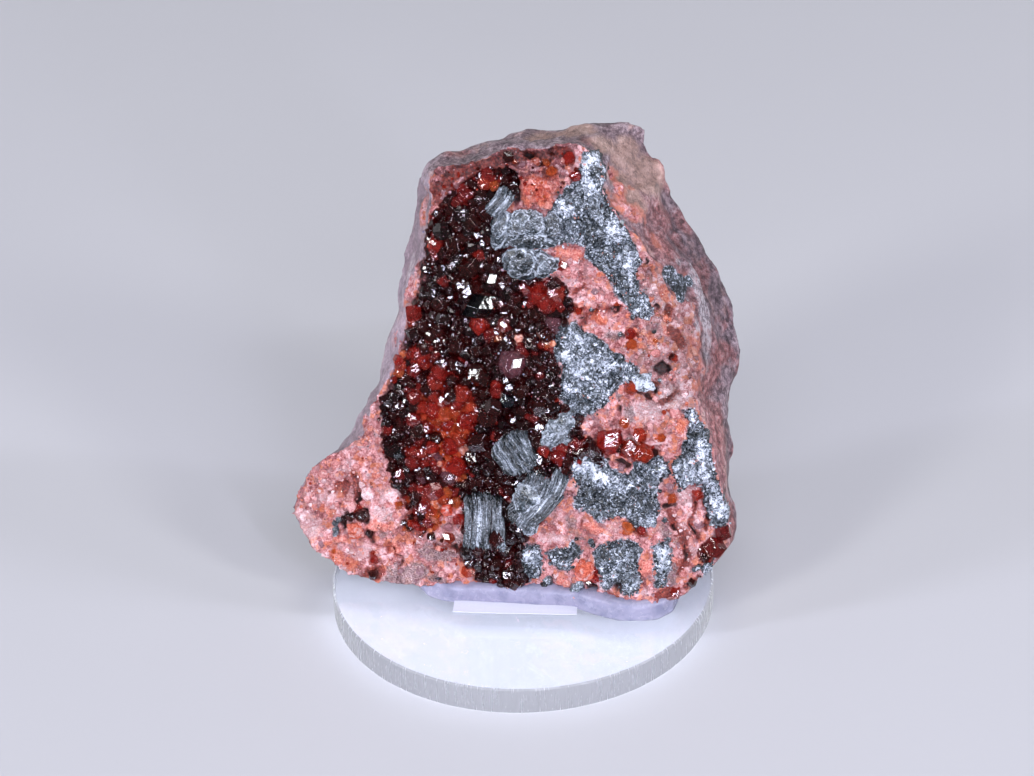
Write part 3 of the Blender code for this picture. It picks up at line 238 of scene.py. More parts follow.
# places on the sides and rim, each an oval body: (u, v, w, half sizes, turn in the face)
SIDES = {
    "white": [
        (26.2, 54.6, 7.6, 0.8, 1.6, 1.4, 20), (26.9, 51.6, 6.6, 1.3, 3.0, 1.6, 20), (28.2, 47.2, 5.6, 1.5, 3.6, 1.8, 14), (29.0, 42.0, 5.0, 1.0, 3.4, 1.6, 8),
        (29.4, 36.6, 4.2, 0.6, 3.0, 1.2, 4), (25.9, 48.4, 2.6, 0.9, 2.0, 1.2, 10), (-20.2, 53.2, 5.4, 0.8, 2.6, 1.4, -12), (24.0, 56.0, 4.6, 0.6, 1.2, 1.0, 20),
        (27.3, 44.8, 2.6, 0.7, 2.4, 1.0, 10), (18.6, 65.0, 9.6, 0.5, 1.6, 1.4, 40), (31.2, 46.6, 9.4, 0.8, 2.2, 1.6, 10),
    ],
    "dark": [
        (22.2, 53.9, 2.6, 1.7, 1.5, 2.4, -30), (24.2, 52.2, 2.9, 2.0, 1.7, 2.4, -30), (25.6, 52.4, 5.2, 1.2, 1.0, 1.2, 0), (24.6, 50.3, 1.9, 1.0, 1.0, 1.5, 0),
        (30.4, 31.2, 3.8, 0.4, 3.2, 0.8, 4),
    ],
    "ochre": [
        (11.2, 74.0, 6.5, 3.2, 2.2, 4.0, 0), (14.8, 72.6, 8.7, 3.4, 3.4, 5.0, 0), (18.1, 69.0, 9.6, 3.6, 4.4, 5.5, 30), (16.2, 66.0, 4.4, 2.4, 3.6, 3.0, 35),
        (14.6, 69.8, 4.4, 2.8, 3.2, 3.2, 0), (6.0, 75.9, 9.0, 4.0, 1.6, 4.0, 0), (0.5, 74.8, 9.0, 2.6, 1.4, 3.0, 0), (33.8, 24.0, 9.0, 1.6, 3.0, 3.0, 0),
    ],
    "flush": [
        (20.9, 68.6, 12.9, 1.4, 4.6, 2.6, 25), (24.2, 61.2, 12.6, 1.6, 3.0, 2.6, 30), (21.6, 62.6, 8.4, 2.6, 3.0, 3.4, 30), (20.4, 58.6, 3.6, 1.2, 3.4, 2.4, 35),
        (22.6, 56.8, 5.0, 1.4, 2.4, 2.6, 30), (-12.8, 72.2, 6.5, 2.2, 1.1, 2.6, 10), (9.4, 75.0, 4.4, 2.2, 1.0, 2.2, 0), (29.6, 36.0, 5.0, 1.6, 4.0, 3.4, 0),
        (31.0, 28.0, 6.0, 1.6, 4.0, 4.0, 0), (27.2, 41.0, 2.2, 1.0, 4.4, 2.2, 8), (33.4, 13.0, 4.0, 1.8, 3.4, 3.4, 0), (31.0, 40.0, 9.0, 2.4, 2.6, 3.6, 0),
        (31.4, 52.0, 12.0, 1.8, 3.0, 2.6, 30), (33.2, 8.0, 5.0, 2.4, 2.4, 3.0, 0), (-20.4, 44.0, 5.0, 1.2, 3.0, 2.4, 0), (-21.4, 36.0, 4.6, 1.4, 3.2, 2.4, 0),
    ],
}
# places in the druse whose garnets are clear red to orange, where the rock beneath them is also painted a glowing
# orange: (u, v, radius, strength)
CLEAR = [
    (-15.6, 29.6, 2.6, 0.65), (-13.2, 27.4, 2.4, 0.75), (-10.0, 28.6, 2.2, 0.70), (-12.4, 23.6, 2.6, 0.85), (-18.6, 22.9, 1.6, 0.55), (-14.5, 22.6, 1.6, 0.75),
    (-17.6, 38.3, 1.6, 0.65), (-21.7, 38.0, 1.5, 0.60), (-21.6, 36.2, 1.3, 0.60), (3.3, 42.3, 1.6, 0.55), (2.0, 49.9, 2.2, 0.50), (-14.0, 14.4, 2.8, 0.75),
    (-8.1, 44.5, 1.2, 0.65), (-5.2, 34.7, 0.9, 0.60), (-11.0, 32.6, 2.6, 0.40), (-6.8, 68.4, 1.2, 0.75), (-14.0, 36.0, 2.6, 0.30), (-12.1, 20.6, 1.6, 0.90),
    (-16.0, 56.6, 1.4, 0.55), (-18.8, 44.6, 1.4, 0.60), (-5.2, 42.6, 0.8, 0.80), (-1.6, 42.6, 1.2, 0.55), (7.0, 24.5, 2.0, 0.35), (3.3, 24.2, 1.2, 0.45),
    (-13.8, 11.6, 1.8, 0.65), (-5.0, 13.0, 1.0, 0.2), (-16.6, 62.0, 1.2, 0.4), (-11.2, 66.4, 1.4, 0.35), (-17.6, 32.6, 2.0, 0.35), (1.0, 21.6, 1.2, 0.25),
]
# light and dark areas of the chlorite: (u, v, radius, change)
TONES = [
    (9.4, 72.2, 1.3, 0.35), (10.2, 68.2, 1.4, 0.30), (14.1, 62.4, 1.3, 0.28), (10.4, 70.0, 1.0, -0.35), (8.2, 66.6, 1.1, -0.30), (12.4, 64.6, 1.1, -0.25),
    (15.6, 62.6, 0.8, -0.4), (7.8, 62.6, 1.4, -0.2), (5.6, 64.4, 1.3, 0.22), (10.0, 60.4, 1.7, -0.25), (7.6, 58.9, 2.0, 0.20), (12.6, 57.2, 1.6, -0.10),
    (15.6, 57.8, 1.6, 0.20), (14.0, 53.0, 1.1, -0.30), (16.6, 55.4, 1.0, 0.12), (16.4, 49.0, 1.0, -0.25), (19.0, 49.0, 1.1, 0.10), (4.4, 60.6, 1.3, -0.30),
    (4.8, 41.8, 0.9, -0.40), (5.9, 40.2, 0.8, 0.35), (5.6, 38.4, 0.7, -0.35), (7.9, 39.4, 1.5, 0.15), (9.6, 42.4, 1.3, 0.10), (7.4, 35.6, 1.3, 0.10),
    (10.8, 36.4, 1.9, 0.05), (9.8, 32.6, 1.1, -0.25), (6.2, 33.4, 0.8, -0.15), (13.4, 39.4, 1.3, 0.10), (14.6, 36.9, 1.0, -0.25), (16.4, 37.8, 1.0, 0.15),
    (11.9, 43.0, 0.8, -0.2), (10.4, 22.4, 1.9, 0.18), (8.6, 21.8, 1.4, 0.20), (9.4, 19.6, 1.2, -0.15), (12.6, 20.9, 1.6, 0.20), (15.0, 19.8, 1.4, 0.16),
    (11.5, 17.0, 1.9, -0.25), (9.6, 16.2, 1.2, -0.10), (14.6, 15.8, 1.5, -0.20), (17.8, 19.0, 1.2, -0.1), (19.6, 16.0, 1.3, -0.25), (20.8, 13.4, 1.3, 0.15),
    (18.2, 14.0, 1.2, -0.05), (20.6, 22.6, 1.3, -0.05), (22.6, 22.4, 1.0, 0.15), (17.6, 22.0, 1.0, -0.25), (27.4, 30.8, 0.9, 0.30), (27.6, 27.8, 0.8, -0.30),
    (28.8, 25.2, 1.2, 0.25), (28.6, 21.8, 1.4, 0.22), (27.6, 23.0, 1.0, -0.1), (26.4, 20.6, 1.1, 0.25), (30.2, 19.0, 1.2, 0.10), (31.9, 15.8, 1.4, 0.30), (31.4, 12.8, 0.8, -0.45),
    (14.2, 8.4, 1.4, -0.15), (12.4, 7.6, 0.9, -0.3), (17.6, 8.6, 1.5, -0.10), (14.4, 4.6, 1.0, 0.20), (17.4, 4.2, 1.2, -0.10), (18.4, 2.8, 1.0, 0.05),
    (13.2, 2.8, 0.7, 0.35), (22.6, 8.0, 1.5, 0.60), (23.4, 5.0, 1.0, -0.10), (0.6, 6.2, 1.1, 0.35), (1.2, 4.0, 1.2, -0.10), (5.2, 7.2, 0.9, -0.25),
    (7.4, 7.4, 0.9, -0.30), (7.6, 5.6, 0.8, 0.05), (30.9, 5.0, 1.0, 0.30), (8.8, 9.0, 0.7, -0.3), (16.0, 6.6, 0.8, 0.1), (24.8, 24.2, 0.8, -0.1),
]


def face_matrix():
    lean, yaw = math.radians(FACE_LEAN_DEG), math.radians(FACE_YAW_DEG)
    back = Vector((-math.sin(yaw), math.cos(yaw), 0.0))
    u = Vector((math.cos(yaw), math.sin(yaw), 0.0))
    v = math.sin(lean) * back + Vector((0.0, 0.0, math.cos(lean)))
    w = math.cos(lean) * back - Vector((0.0, 0.0, math.sin(lean)))
    turn = Matrix((u, v, w)).transposed().to_4x4()
    return Matrix.Translation(Vector(FACE_ORIGIN) * MM) @ turn @ Matrix.Scale(MM, 4)


FACE = face_matrix()
FACE_TURN = np.array(FACE.to_3x3()) / MM

# ---------------------------------------------------------------- mesh helpers


def link(obj):
    bpy.context.scene.collection.objects.link(obj)
    return obj


def settle(obj):
    graph = bpy.context.evaluated_depsgraph_get()
    graph.update()
    made = bpy.data.meshes.new_from_object(obj.evaluated_get(graph))
    obj.modifiers.clear()
    old = obj.data
    obj.data = made
    bpy.data.meshes.remove(old)
    return obj


def to_world(obj):
    obj.data.transform(FACE)
    obj.data.flip_normals()
    obj.data.update()
    return obj


def poly_sdf(points, poly):
    """Signed distance of each point to the polygon's edge, negative inside."""
    p = np.asarray(points, float)[:, :2]
    a = np.asarray(poly, float)
    b = np.roll(a, -1, axis=0)
    best = np.full(len(p), 1e9)
    inside = np.zeros(len(p), bool)
    for (ax, ay), (bx, by) in zip(a, b):
        ex, ey = bx - ax, by - ay
        t = np.clip(((p[:, 0] - ax) * ex + (p[:, 1] - ay) * ey) / (ex * ex + ey * ey), 0, 1)
        d = np.hypot(p[:, 0] - ax - t * ex, p[:, 1] - ay - t * ey)
        best = np.minimum(best, d)
        cond = (ay > p[:, 1]) != (by > p[:, 1])
        with np.errstate(divide="ignore", invalid="ignore"):
            x_at = ax + (p[:, 1] - ay) * ex / (ey if ey else 1e-12)
        inside ^= cond & (p[:, 0] < x_at)
    return np.where(inside, -best, best)


def line_distance(points, line):
    p = np.asarray(points, float)[:, :2]
    best = np.full(len(p), 1e9)
    for (ax, ay), (bx, by) in zip(line, line[1:]):
        ex, ey = bx - ax, by - ay
        t = np.clip(((p[:, 0] - ax) * ex + (p[:, 1] - ay) * ey) / (ex * ex + ey * ey), 0, 1)
        best = np.minimum(best, np.hypot(p[:, 0] - ax - t * ex, p[:, 1] - ay - t * ey))
    return best


def relief(u, v):
    total = np.zeros(np.shape(u))
    for a, b, r, rise in RELIEF:
        total = total + rise * np.exp(-((u - a) ** 2 + (v - b) ** 2) / (r * r))
    return total


def spot_field(points, spots):
    """How far inside the nearest of the ovals each point lies, in mm, negative outside."""
    best = np.full(len(points), -3.0)
    for u, v, a, b, turn in spots:
        c, s = math.cos(math.radians(turn)), math.sin(math.radians(turn))
        x, y = points[:, 0] - u, points[:, 1] - v
        d = np.hypot((x * c + y * s) / a, (y * c - x * s) / b)
        best = np.maximum(best, (1 - d) * math.sqrt(a * b))
    return best


def side_field(points, spots):
    best = np.full(len(points), -3.0)
    for u, v, w, a, b, e, turn in spots:
        c, s = math.cos(math.radians(turn)), math.sin(math.radians(turn))
        x, y, z = points[:, 0] - u, points[:, 1] - v, points[:, 2] - w
        d = np.sqrt(((x * c + y * s) / a) ** 2 + ((y * c - x * s) / b) ** 2 + (z / e) ** 2)
        best = np.maximum(best, (1 - d) * (a * b * e) ** (1 / 3))
    return best


def soft_sum(points, places):
    total = np.zeros(len(points))
    for u, v, r, change in places:
        total += change * np.exp(-((points[:, 0] - u) ** 2 + (points[:, 1] - v) ** 2) / (r * r))
    return total


def ring(outline, turns):
    cu, cv = FACE_CENTRE
    found = []
    for turn in turns:
        du, dv = math.cos(turn), math.sin(turn)
        best = None
        for a, b in zip(outline, outline[1:] + outline[:1]):
            ax, ay, bx, by = a[0] - cu, a[1] - cv, b[0] - cu, b[1] - cv
            ex, ey = bx - ax, by - ay
            cross = du * ey - dv * ex
            if abs(cross) < 1e-9:
                continue
            reach = (ax * ey - ay * ex) / cross
            share = (ax * dv - ay * du) / cross
            if reach > 0 and -1e-6 <= share <= 1 + 1e-6 and (best is None or reach > best[0]):
                best = (reach, a[2] + (b[2] - a[2]) * share)
        found.append(Vector((cu + du * best[0], cv + dv * best[0], best[1])))
    return found


def stone_blank(voxel):
    turns = [2 * math.pi * k / STATIONS for k in range(STATIONS)]
    front, girth, back = (ring(outline, turns) for outline in (FRONT_EDGE, GIRTH, BACK_EDGE))
    rings = []
    for share in (0.25, 0.5, 0.75, 0.92):
        centre = Vector((*FACE_CENTRE, 0.0))
        rings.append([centre.lerp(Vector((p.x, p.y, p.z * share)), share) for p in front])
    rings.append(front)
    rings.append([a.lerp(b, 0.45) + 0.35 * Vector((b.x - FACE_CENTRE[0], b.y - FACE_CENTRE[1], 0)).normalized() for a, b in zip(front, girth)])
    rings.append(girth)
    rings.append([a.lerp(b, 0.5) + 0.6 * Vector((a.x - FACE_CENTRE[0], a.y - FACE_CENTRE[1], 0)).normalized() for a, b in zip(girth, back)])
    rings.append(back)
    for share in (0.65, 0.3):
        centre = Vector((*FACE_CENTRE, 24.5))
        rings.append([centre.lerp(Vector((p.x, p.y, p.z + (24.5 - p.z) * (1 - share) * 0.8)), share) for p in back])
    bm = bmesh.new()
    levels = [[bm.verts.new(p) for p in one] for one in rings]
    first = bm.verts.new((*FACE_CENTRE, 0.0))
    last = bm.verts.new((*FACE_CENTRE, 25.5))
    for a, b in zip(levels, levels[1:]):
        for k in range(STATIONS):
            j = (k + 1) % STATIONS
            bm.faces.new((a[k], a[j], b[j], b[k]))
    for k in range(STATIONS):
        j = (k + 1) % STATIONS
        bm.faces.new((first, levels[0][j], levels[0][k]))
        bm.faces.new((last, levels[-1][k], levels[-1][j]))
    cuts = [(Vector(p), Vector(n)) for p, n in FRACTURES]
    cuts.append((FACE.inverted() @ Vector((0, 0, STONE_FLOOR_Z * MM)), FACE.to_3x3().inverted() @ Vector((0, 0, -1))))
    for point, outward in cuts:
        cut = bmesh.ops.bisect_plane(bm, geom=bm.verts[:] + bm.edges[:] + bm.faces[:], plane_co=point,
                                     plane_no=outward.normalized(), clear_outer=True, dist=1e-5)
        rim = [item for item in cut["geom_cut"] if isinstance(item, bmesh.types.BMEdge)]
        bmesh.ops.holes_fill(bm, edges=rim, sides=0)
    bmesh.ops.recalc_face_normals(bm, faces=bm.faces)
    bmesh.ops.triangulate(bm, faces=bm.faces)
    mesh = bpy.data.meshes.new("stone")
    bm.to_mesh(mesh)
    bm.free()
    obj = link(bpy.data.objects.new("stone", mesh))
    remesh = obj.modifiers.new("Even", "REMESH")
    remesh.mode = "VOXEL"
    remesh.voxel_size = voxel
    return settle(obj)


def coords(mesh):
    found = np.empty(len(mesh.vertices) * 3, np.float32)
    mesh.vertices.foreach_get("co", found)
    return found.reshape(-1, 3).astype(float)


def normals_of(mesh):
    found = np.empty(len(mesh.vertices) * 3, np.float32)
    mesh.vertex_normals.foreach_get("vector", found)
    return found.reshape(-1, 3).astype(float)


def put_coords(mesh, found):
    mesh.vertices.foreach_set("co", found.astype(np.float32).ravel())
    mesh.update()


def float_attribute(mesh, name, values):
    made = mesh.attributes.new(name, "FLOAT", "POINT")
    made.data.foreach_set("value", np.asarray(values, np.float32))


def vector_attribute(mesh, name, values):
    made = mesh.attributes.new(name, "FLOAT_VECTOR", "POINT")
    made.data.foreach_set("vector", np.asarray(values, np.float32).ravel())


def colour_attribute(mesh, name, values):
    made = mesh.attributes.new(name, "FLOAT_COLOR", "POINT")
    rgba = np.ones((len(values), 4), np.float32)
    rgba[:, :3] = values
    made.data.foreach_set("color", rgba.ravel())


def n3(points, scale, offset):
    off = Vector(offset)
    return np.array([noise.noise(Vector(p) / scale + off) for p in points])


def fractal(points, scale, offset, octaves=3):
    total, size, strength = np.zeros(len(points)), scale, 1.0
    for k in range(octaves):
        total += strength * n3(points, size, (offset[0] + 17.3 * k, offset[1] + 5.1 * k, offset[2] + 9.7 * k))
        size *= 0.5
        strength *= 0.5
    return total


def facet_field(points, scale, offset, wobble=0.25, step=0.5, stretch=(1.0, 1.0, 1.0)):
    """Broken crystal faces: each cell is a plane with a tilt and a height of its own, roughly -1 to 1."""
    found = np.empty(len(points))
    off, size = Vector(offset), Vector([scale * s for s in stretch])
    half = Vector((0.5, 0.5, 0.5))
    for k, q in enumerate(points):
        at = Vector((q[0] / size.x, q[1] / size.y, q[2] / size.z)) + off
        at += wobble * noise.noise_vector(at * 1.3)
        near = noise.voronoi(at)[1][0]
        spin = noise.cell_vector(near * 7.0) - half
        found[k] = 2.0 * (at - near).dot(spin) + step * (noise.cell(near * 13.0) - 0.5) * 2
    return found


def smooth(x, low, high):
    t = np.clip((x - low) / (high - low), 0, 1)
    return t * t * (3 - 2 * t)


# ---------------------------------------------------------------- the stone


def finer(obj, chosen):
    """Splits every chosen quad of the mesh into four."""
    bm = bmesh.new()
    bm.from_mesh(obj.data)
    bm.faces.ensure_lookup_table()
    edges = {e for k in np.flatnonzero(chosen) for e in bm.faces[int(k)].edges}
    order = sorted(edges, key=lambda e: e.index)
    bmesh.ops.subdivide_edges(bm, edges=order, cuts=1, use_grid_fill=True)
    odd = [f for f in bm.faces if len(f.verts) > 4]
    bmesh.ops.triangulate(bm, faces=odd)
    bm.to_mesh(obj.data)
    bm.free()
    obj.data.update()


def build_stone():
    obj = stone_blank(STONE_VOXEL)
    mesh = obj.data
    p = coords(mesh)
    n = normals_of(mesh)
    floor = FACE.to_3x3().inverted() @ Vector((0, 0, 1))
    floor = np.array(floor.normalized())
    facing = np.clip(-n[:, 2], 0, 1)
    resting = np.clip(-(n @ floor), 0, 1)
    inside = np.clip((5.0 - p[:, 2]) / 4.0, 0, 1)
    p[:, 2] -= relief(p[:, 0], p[:, 1]) * facing * inside
    rough = 0.85 * n3(p, 9.0, (3.1, 7.7, 1.9)) + 0.45 * n3(p, 3.4, (11.3, 2.2, 5.5))
    cells = np.array([noise.voronoi(Vector(q) / 7.5 + Vector((4.0, 1.0, 8.0)))[0][0] for q in p])
    rough += (0.75 - 0.35 * facing) * (0.5 - cells)
    p += n * (rough * (1.0 - 0.8 * resting))[:, None]
    put_coords(mesh, p)

    n = normals_of(mesh)
    face_on = smooth(-n[:, 2], 0.35, 0.75) * smooth(6.5 - p[:, 2], 0.0, 2.5)
    covered = np.minimum(poly_sdf(p, DRUSE), np.min([poly_sdf(p, one) for one in FELTS.values()], axis=0))
    want = (face_on > 0.25) & (covered > -0.9)
    loops = np.empty(len(mesh.loops), np.int32)
    mesh.loops.foreach_get("vertex_index", loops)
    starts = np.empty(len(mesh.polygons), np.int32)
    mesh.polygons.foreach_get("loop_start", starts)
    totals = np.empty(len(mesh.polygons), np.int32)
    mesh.polygons.foreach_get("loop_total", totals)
    chosen = np.array([totals[k] == 4 and want[loops[starts[k]:starts[k] + 4]].all() for k in range(len(starts))])
    finer(obj, chosen)
    mesh = obj.data
    p = coords(mesh)
    n = normals_of(mesh)
    facing = smooth(-n[:, 2], 0.35, 0.75)
    resting = np.clip(-(n @ floor), 0, 1)
    front = facing * smooth(6.5 - p[:, 2], 0.0, 2.5)

    warp = np.stack([n3(p, 2.6, (1.7, 8.1, 3.3)), n3(p, 2.6, (21.7, 4.1, 13.3))], 1) * 0.9
    warp += np.stack([n3(p, 0.9, (5.7, 2.1, 7.3)), n3(p, 0.9, (2.7, 14.1, 1.3))], 1) * 0.5
    uv = p[:, :2] + warp
    druse = poly_sdf(uv, DRUSE)
    felt = np.min([poly_sdf(uv, one) for one in FELTS.values()], axis=0)
    druse_in = smooth(-druse, -0.8, 0.8) * front
    felt_in = smooth(-felt, -0.3, 0.4) * front
    fields = {kind: spot_field(uv, spots) for kind, spots in SPOTS.items()}
    crack = np.max([half - line_distance(p[:, :2] + 0.75 * warp, line) for half, line in CRACKS], axis=0)
    fields["red"] = np.maximum(fields["red"], crack + 0.42 + 0.5 * n3(p, 1.6, (4.0, 8.0, 2.0)))
    fields["dark"] = np.maximum(fields["dark"], crack - 0.12 + 0.8 * n3(p, 2.2, (14.0, 3.0, 9.0)))

    on = np.flatnonzero(front > 0.02)
    pink = np.zeros(len(p))
    q = p[on]
    pink[on] = (0.34 * facet_field(q, 2.3, (2.0, 5.0, 1.0)) + 0.20 * facet_field(q, 1.05, (7.0, 3.0, 9.0), step=0.7)
                + 0.07 * n3(q, 0.55, (1.0, 2.0, 3.0)) + 0.42 * n3(q, 3.4, (9.0, 4.0, 6.0)))
    pink -= 1.15 * smooth(fields["dark"], -0.15, 0.55) + 0.25 * smooth(fields["red"], -0.1, 0.5)
    pink += 0.55 * smooth(fields["peach"], -0.2, 0.9) + 0.12 * smooth(fields["orange"], -0.1, 0.5)

    off = np.flatnonzero(front < 0.98)
    host = np.zeros(len(p))
    q = p[off]
    host[off] = (0.55 * facet_field(q, 5.2, (3.0, 9.0, 2.0), step=0.35, stretch=(1.0, 1.35, 1.0))
                 + 0.16 * facet_field(q, 1.9, (13.0, 4.0, 8.0), step=0.4, stretch=(1.0, 1.6, 1.2))
                 + 0.07 * n3(q, 0.8, (1.0, 2.0, 3.0)) + 0.36 * fractal(q, 3.2, (9.0, 4.0, 6.0), 2))
    detail = pink * front + host * (1 - front)
    detail = detail * (1 - 0.6 * resting)
    detail = detail - 0.65 * druse_in - 0.30 * felt_in
    p += n * detail[:, None]
    edges = np.empty(len(mesh.edges) * 2, np.int32)
    mesh.edges.foreach_get("vertices", edges)
    a, b = edges.reshape(-1, 2).T
    links = np.bincount(a, minlength=len(p)) + np.bincount(b, minlength=len(p))
    soften = smooth(front, 0.5, 0.1) * 0.55
    for _ in range(3):
        around = np.zeros_like(p)
        np.add.at(around, a, p[b])
        np.add.at(around, b, p[a])
        p += (around / links[:, None] - p) * soften[:, None]
    put_coords(mesh, p)

    # how far each point sinks into the relief, kept to paint shade into the hollows
    height = (pink + 0.4 * smooth(fields["dark"], -0.15, 0.55)) * front + host * (1 - front)
    float_attribute(mesh, "hollow_shade", smooth(-height, -0.10, 0.40))
    float_attribute(mesh, "druse", druse)
    float_attribute(mesh, "felt", felt)
    float_attribute(mesh, "front", front)
    float_attribute(mesh, "clear", soft_sum(uv, CLEAR))
    vector_attribute(mesh, "fuvw", p)
    vector_attribute(mesh, "zone_a", np.stack([fields["red"], fields["orange"], fields["pale"]], 1))
    vector_attribute(mesh, "zone_b", np.stack([fields["grey"], fields["dark"], fields["peach"]], 1))
    sides = {kind: side_field(p, spots) for kind, spots in SIDES.items()}
    vector_attribute(mesh, "zone_c", np.stack([sides["white"], sides["dark"], sides["ochre"]], 1))
    float_attribute(mesh, "flush", sides["flush"])
    return obj


# ---------------------------------------------------------------- crystals


def crystal_template(rng, bevel, trapezo, spread=0.055):
    """A garnet: the rhombic dodecahedron, some with the trapezohedron's faces on its edges, each face at its own distance. Gives its vertices, triangles and vertex directions."""
    planes = []
    for a in (-1, 1):
        for b in (-1, 1):
            for flat in ((a, b, 0), (a, 0, b), (0, a, b)):
                planes.append((Vector(flat).normalized(), 1 + rng.uniform(-spread, spread)))
    if trapezo:
        depth = rng.uniform(1.0, 1.05)
        for a in (-1, 1):
            for b in (-1, 1):
                for c in (-1, 1):
                    for axis in range(3):
                        flat = [a, b, c]
                        flat[axis] *= 2
                        planes.append((Vector(flat).normalized(), depth * rng.uniform(0.985, 1.02)))
    bm = bmesh.new()
    bmesh.ops.create_cube(bm, size=4.0)
    for outward, distance in planes:
        cut = bmesh.ops.bisect_plane(bm, geom=bm.verts[:] + bm.edges[:] + bm.faces[:], plane_co=outward * distance,
                                     plane_no=outward, clear_outer=True, dist=1e-6)
        rim = [item for item in cut["geom_cut"] if isinstance(item, bmesh.types.BMEdge)]
        if rim:
            bmesh.ops.holes_fill(bm, edges=rim, sides=0)
    bmesh.ops.remove_doubles(bm, verts=bm.verts, dist=0.03)
    bmesh.ops.dissolve_limit(bm, angle_limit=math.radians(1.0), verts=bm.verts, edges=bm.edges)
    if bevel:
        bmesh.ops.bevel(bm, geom=bm.edges[:], offset=bevel, segments=1, affect="EDGES", profile=0.5, clamp_overlap=True)
        bmesh.ops.remove_doubles(bm, verts=bm.verts, dist=1e-4)
    bmesh.ops.recalc_face_normals(bm, faces=bm.faces)
    bm.verts.ensure_lookup_table()
    bm.verts.index_update()
    ways = []
    for v in bm.verts:
        widest = max(v.link_faces, key=lambda f: f.calc_area())
        ways.append(tuple(widest.normal))
    bmesh.ops.triangulate(bm, faces=bm.faces)
    verts = np.array([tuple(v.co) for v in bm.verts])
    faces = np.array([[v.index for v in f.verts] for f in bm.faces])
    bm.free()
    return verts, faces, np.array(ways)


def random_turn(rng):
    q = np.array([rng.gauss(0, 1) for _ in range(4)])
    w, x, y, z = q / np.linalg.norm(q)
    return np.array([
        [1 - 2 * (y * y + z * z), 2 * (x * y - z * w), 2 * (x * z + y * w)],
        [2 * (x * y + z * w), 1 - 2 * (x * x + z * z), 2 * (y * z - x * w)],
        [2 * (x * z - y * w), 2 * (y * z + x * w), 1 - 2 * (x * x + y * y)]])


class Pile:
    """Many small bodies gathered into one mesh."""

    def __init__(self):
        self.verts, self.faces, self.colours, self.slots, self.ways, self.local, self.count = [], [], [], [], [], [], 0

    def add(self, verts, faces, colour, slot=0, ways=None, local=None):
        self.verts.append(verts)
        self.faces.append(faces + self.count)
        self.colours.append(np.broadcast_to(colour, (len(verts), 3)))
        self.slots.append(np.full(len(faces), slot, np.int32))
        self.ways.append(np.zeros((len(verts), 3)) if ways is None else ways)
        self.local.append(verts if local is None else local)
        self.count += len(verts)

    def build(self, name, materials, shade="flat", smooth_angle=None):
        verts, faces = np.concatenate(self.verts), np.concatenate(self.faces)
        mesh = bpy.data.meshes.new(name)
        mesh.vertices.add(len(verts))
        mesh.vertices.foreach_set("co", verts.astype(np.float32).ravel())
        mesh.loops.add(faces.size)
        mesh.loops.foreach_set("vertex_index", faces.astype(np.int32).ravel())
        mesh.polygons.add(len(faces))
        mesh.polygons.foreach_set("loop_start", np.arange(0, faces.size, faces.shape[1], dtype=np.int32))
        mesh.update(calc_edges=True)
        mesh.validate()
        colour_attribute(mesh, "tint", np.concatenate(self.colours))
        vector_attribute(mesh, "local", np.concatenate(self.local))
        for material in materials:
            mesh.materials.append(material)
        mesh.polygons.foreach_set("material_index", np.concatenate(self.slots))
        obj = link(bpy.data.objects.new(name, mesh))
        to_world(obj)
        if shade == "ways":
            mesh.shade_smooth()
            aim = np.concatenate(self.ways) @ FACE_TURN.T
            aim /= np.linalg.norm(aim, axis=1)[:, None]
            mesh.normals_split_custom_set_from_vertices([tuple(v) for v in aim])
        elif shade == "smooth":
            mesh.shade_smooth()
            if smooth_angle:
                mesh.set_sharp_from_angle(angle=math.radians(smooth_angle))
        else:
            mesh.shade_flat()
        return obj


def scatter(rng, poly, tries, radii, taken, spread=0.66, fringe=0.0, keep=None):
    """Places discs of falling size inside the outline, each apart from those already there."""
    poly = np.array(poly)[:, :2]
    low, high = poly.min(0) - fringe, poly.max(0) + fringe
    made = []
    size = 5.0
    grid = {}

    def cell(u, v):
        return int(u // size), int(v // size)

    for item in taken:
        grid.setdefault(cell(*item[:2]), []).append(item)
    for low_r, high_r, share in radii:
        count = int(tries * share)
        pts = np.array([[rng.uniform(low[0], high[0]), rng.uniform(low[1], high[1])] for _ in range(count)])
        sd = poly_sdf(pts, poly)
        free = keep(pts) if keep else np.ones(count, bool)
        for (u, v), d, open_place in zip(pts, sd, free):
            r = rng.uniform(low_r, high_r)
            d += 0.55 * max(0.0, r - 0.35)
            if not open_place or (d > 0 and (fringe <= 0 or d > fringe or rng.random() < d / fringe)):
                continue
            a, b = cell(u, v)
            near = [t for i in (a - 1, a, a + 1) for j in (b - 1, b, b + 1) for t in grid.get((i, j), ())]
            if any(math.hypot(t[0] - u, t[1] - v) < spread * (t[2] + r) for t in near):
                continue
            item = (u, v, r)
            taken.append(item)
            grid.setdefault((a, b), []).append(item)
            made.append(item)
    return made


# ---------------------------------------------------------------- chlorite leaves


def basis(axis, along):
    axis = np.array(axis, float) / np.linalg.norm(axis)
    along = np.array(along, float)
    along = along - axis * (along @ axis)
    along /= np.linalg.norm(along)
    return np.stack([along, np.cross(axis, along), axis], 1)


def silver(t):
    """Chlorite's colour for a brightness of 0 to 1: near black green to silver. Takes one brightness or many."""
    t = np.clip(np.atleast_1d(np.array(t, float)), 0, 1)[:, None]
    dark, mid, pale = np.array([0.010, 0.016, 0.018]), np.array([0.110, 0.135, 0.158]), np.array([0.62, 0.68, 0.76])
    made = np.where(t < 0.5, dark + (mid - dark) * 2 * t, mid + (pale - mid) * (2 * t - 1))
    return made if len(made) > 1 else made[0]


def chlorite_tone(rng, bright, spread=0.22):
    return silver(rng.gauss(bright, spread))


def leaf_faces(sides):
    k = np.arange(sides)
    nxt = (k + 1) % sides
    top, low, tc, lc = k, k + sides, 2 * sides, 2 * sides + 1
    return np.concatenate([
        np.stack([top, top[nxt], np.full(sides, tc)], 1), np.stack([low[nxt], low, np.full(sides, lc)], 1),
        np.stack([top, low, top[nxt]], 1), np.stack([top[nxt], low, low[nxt]], 1)])


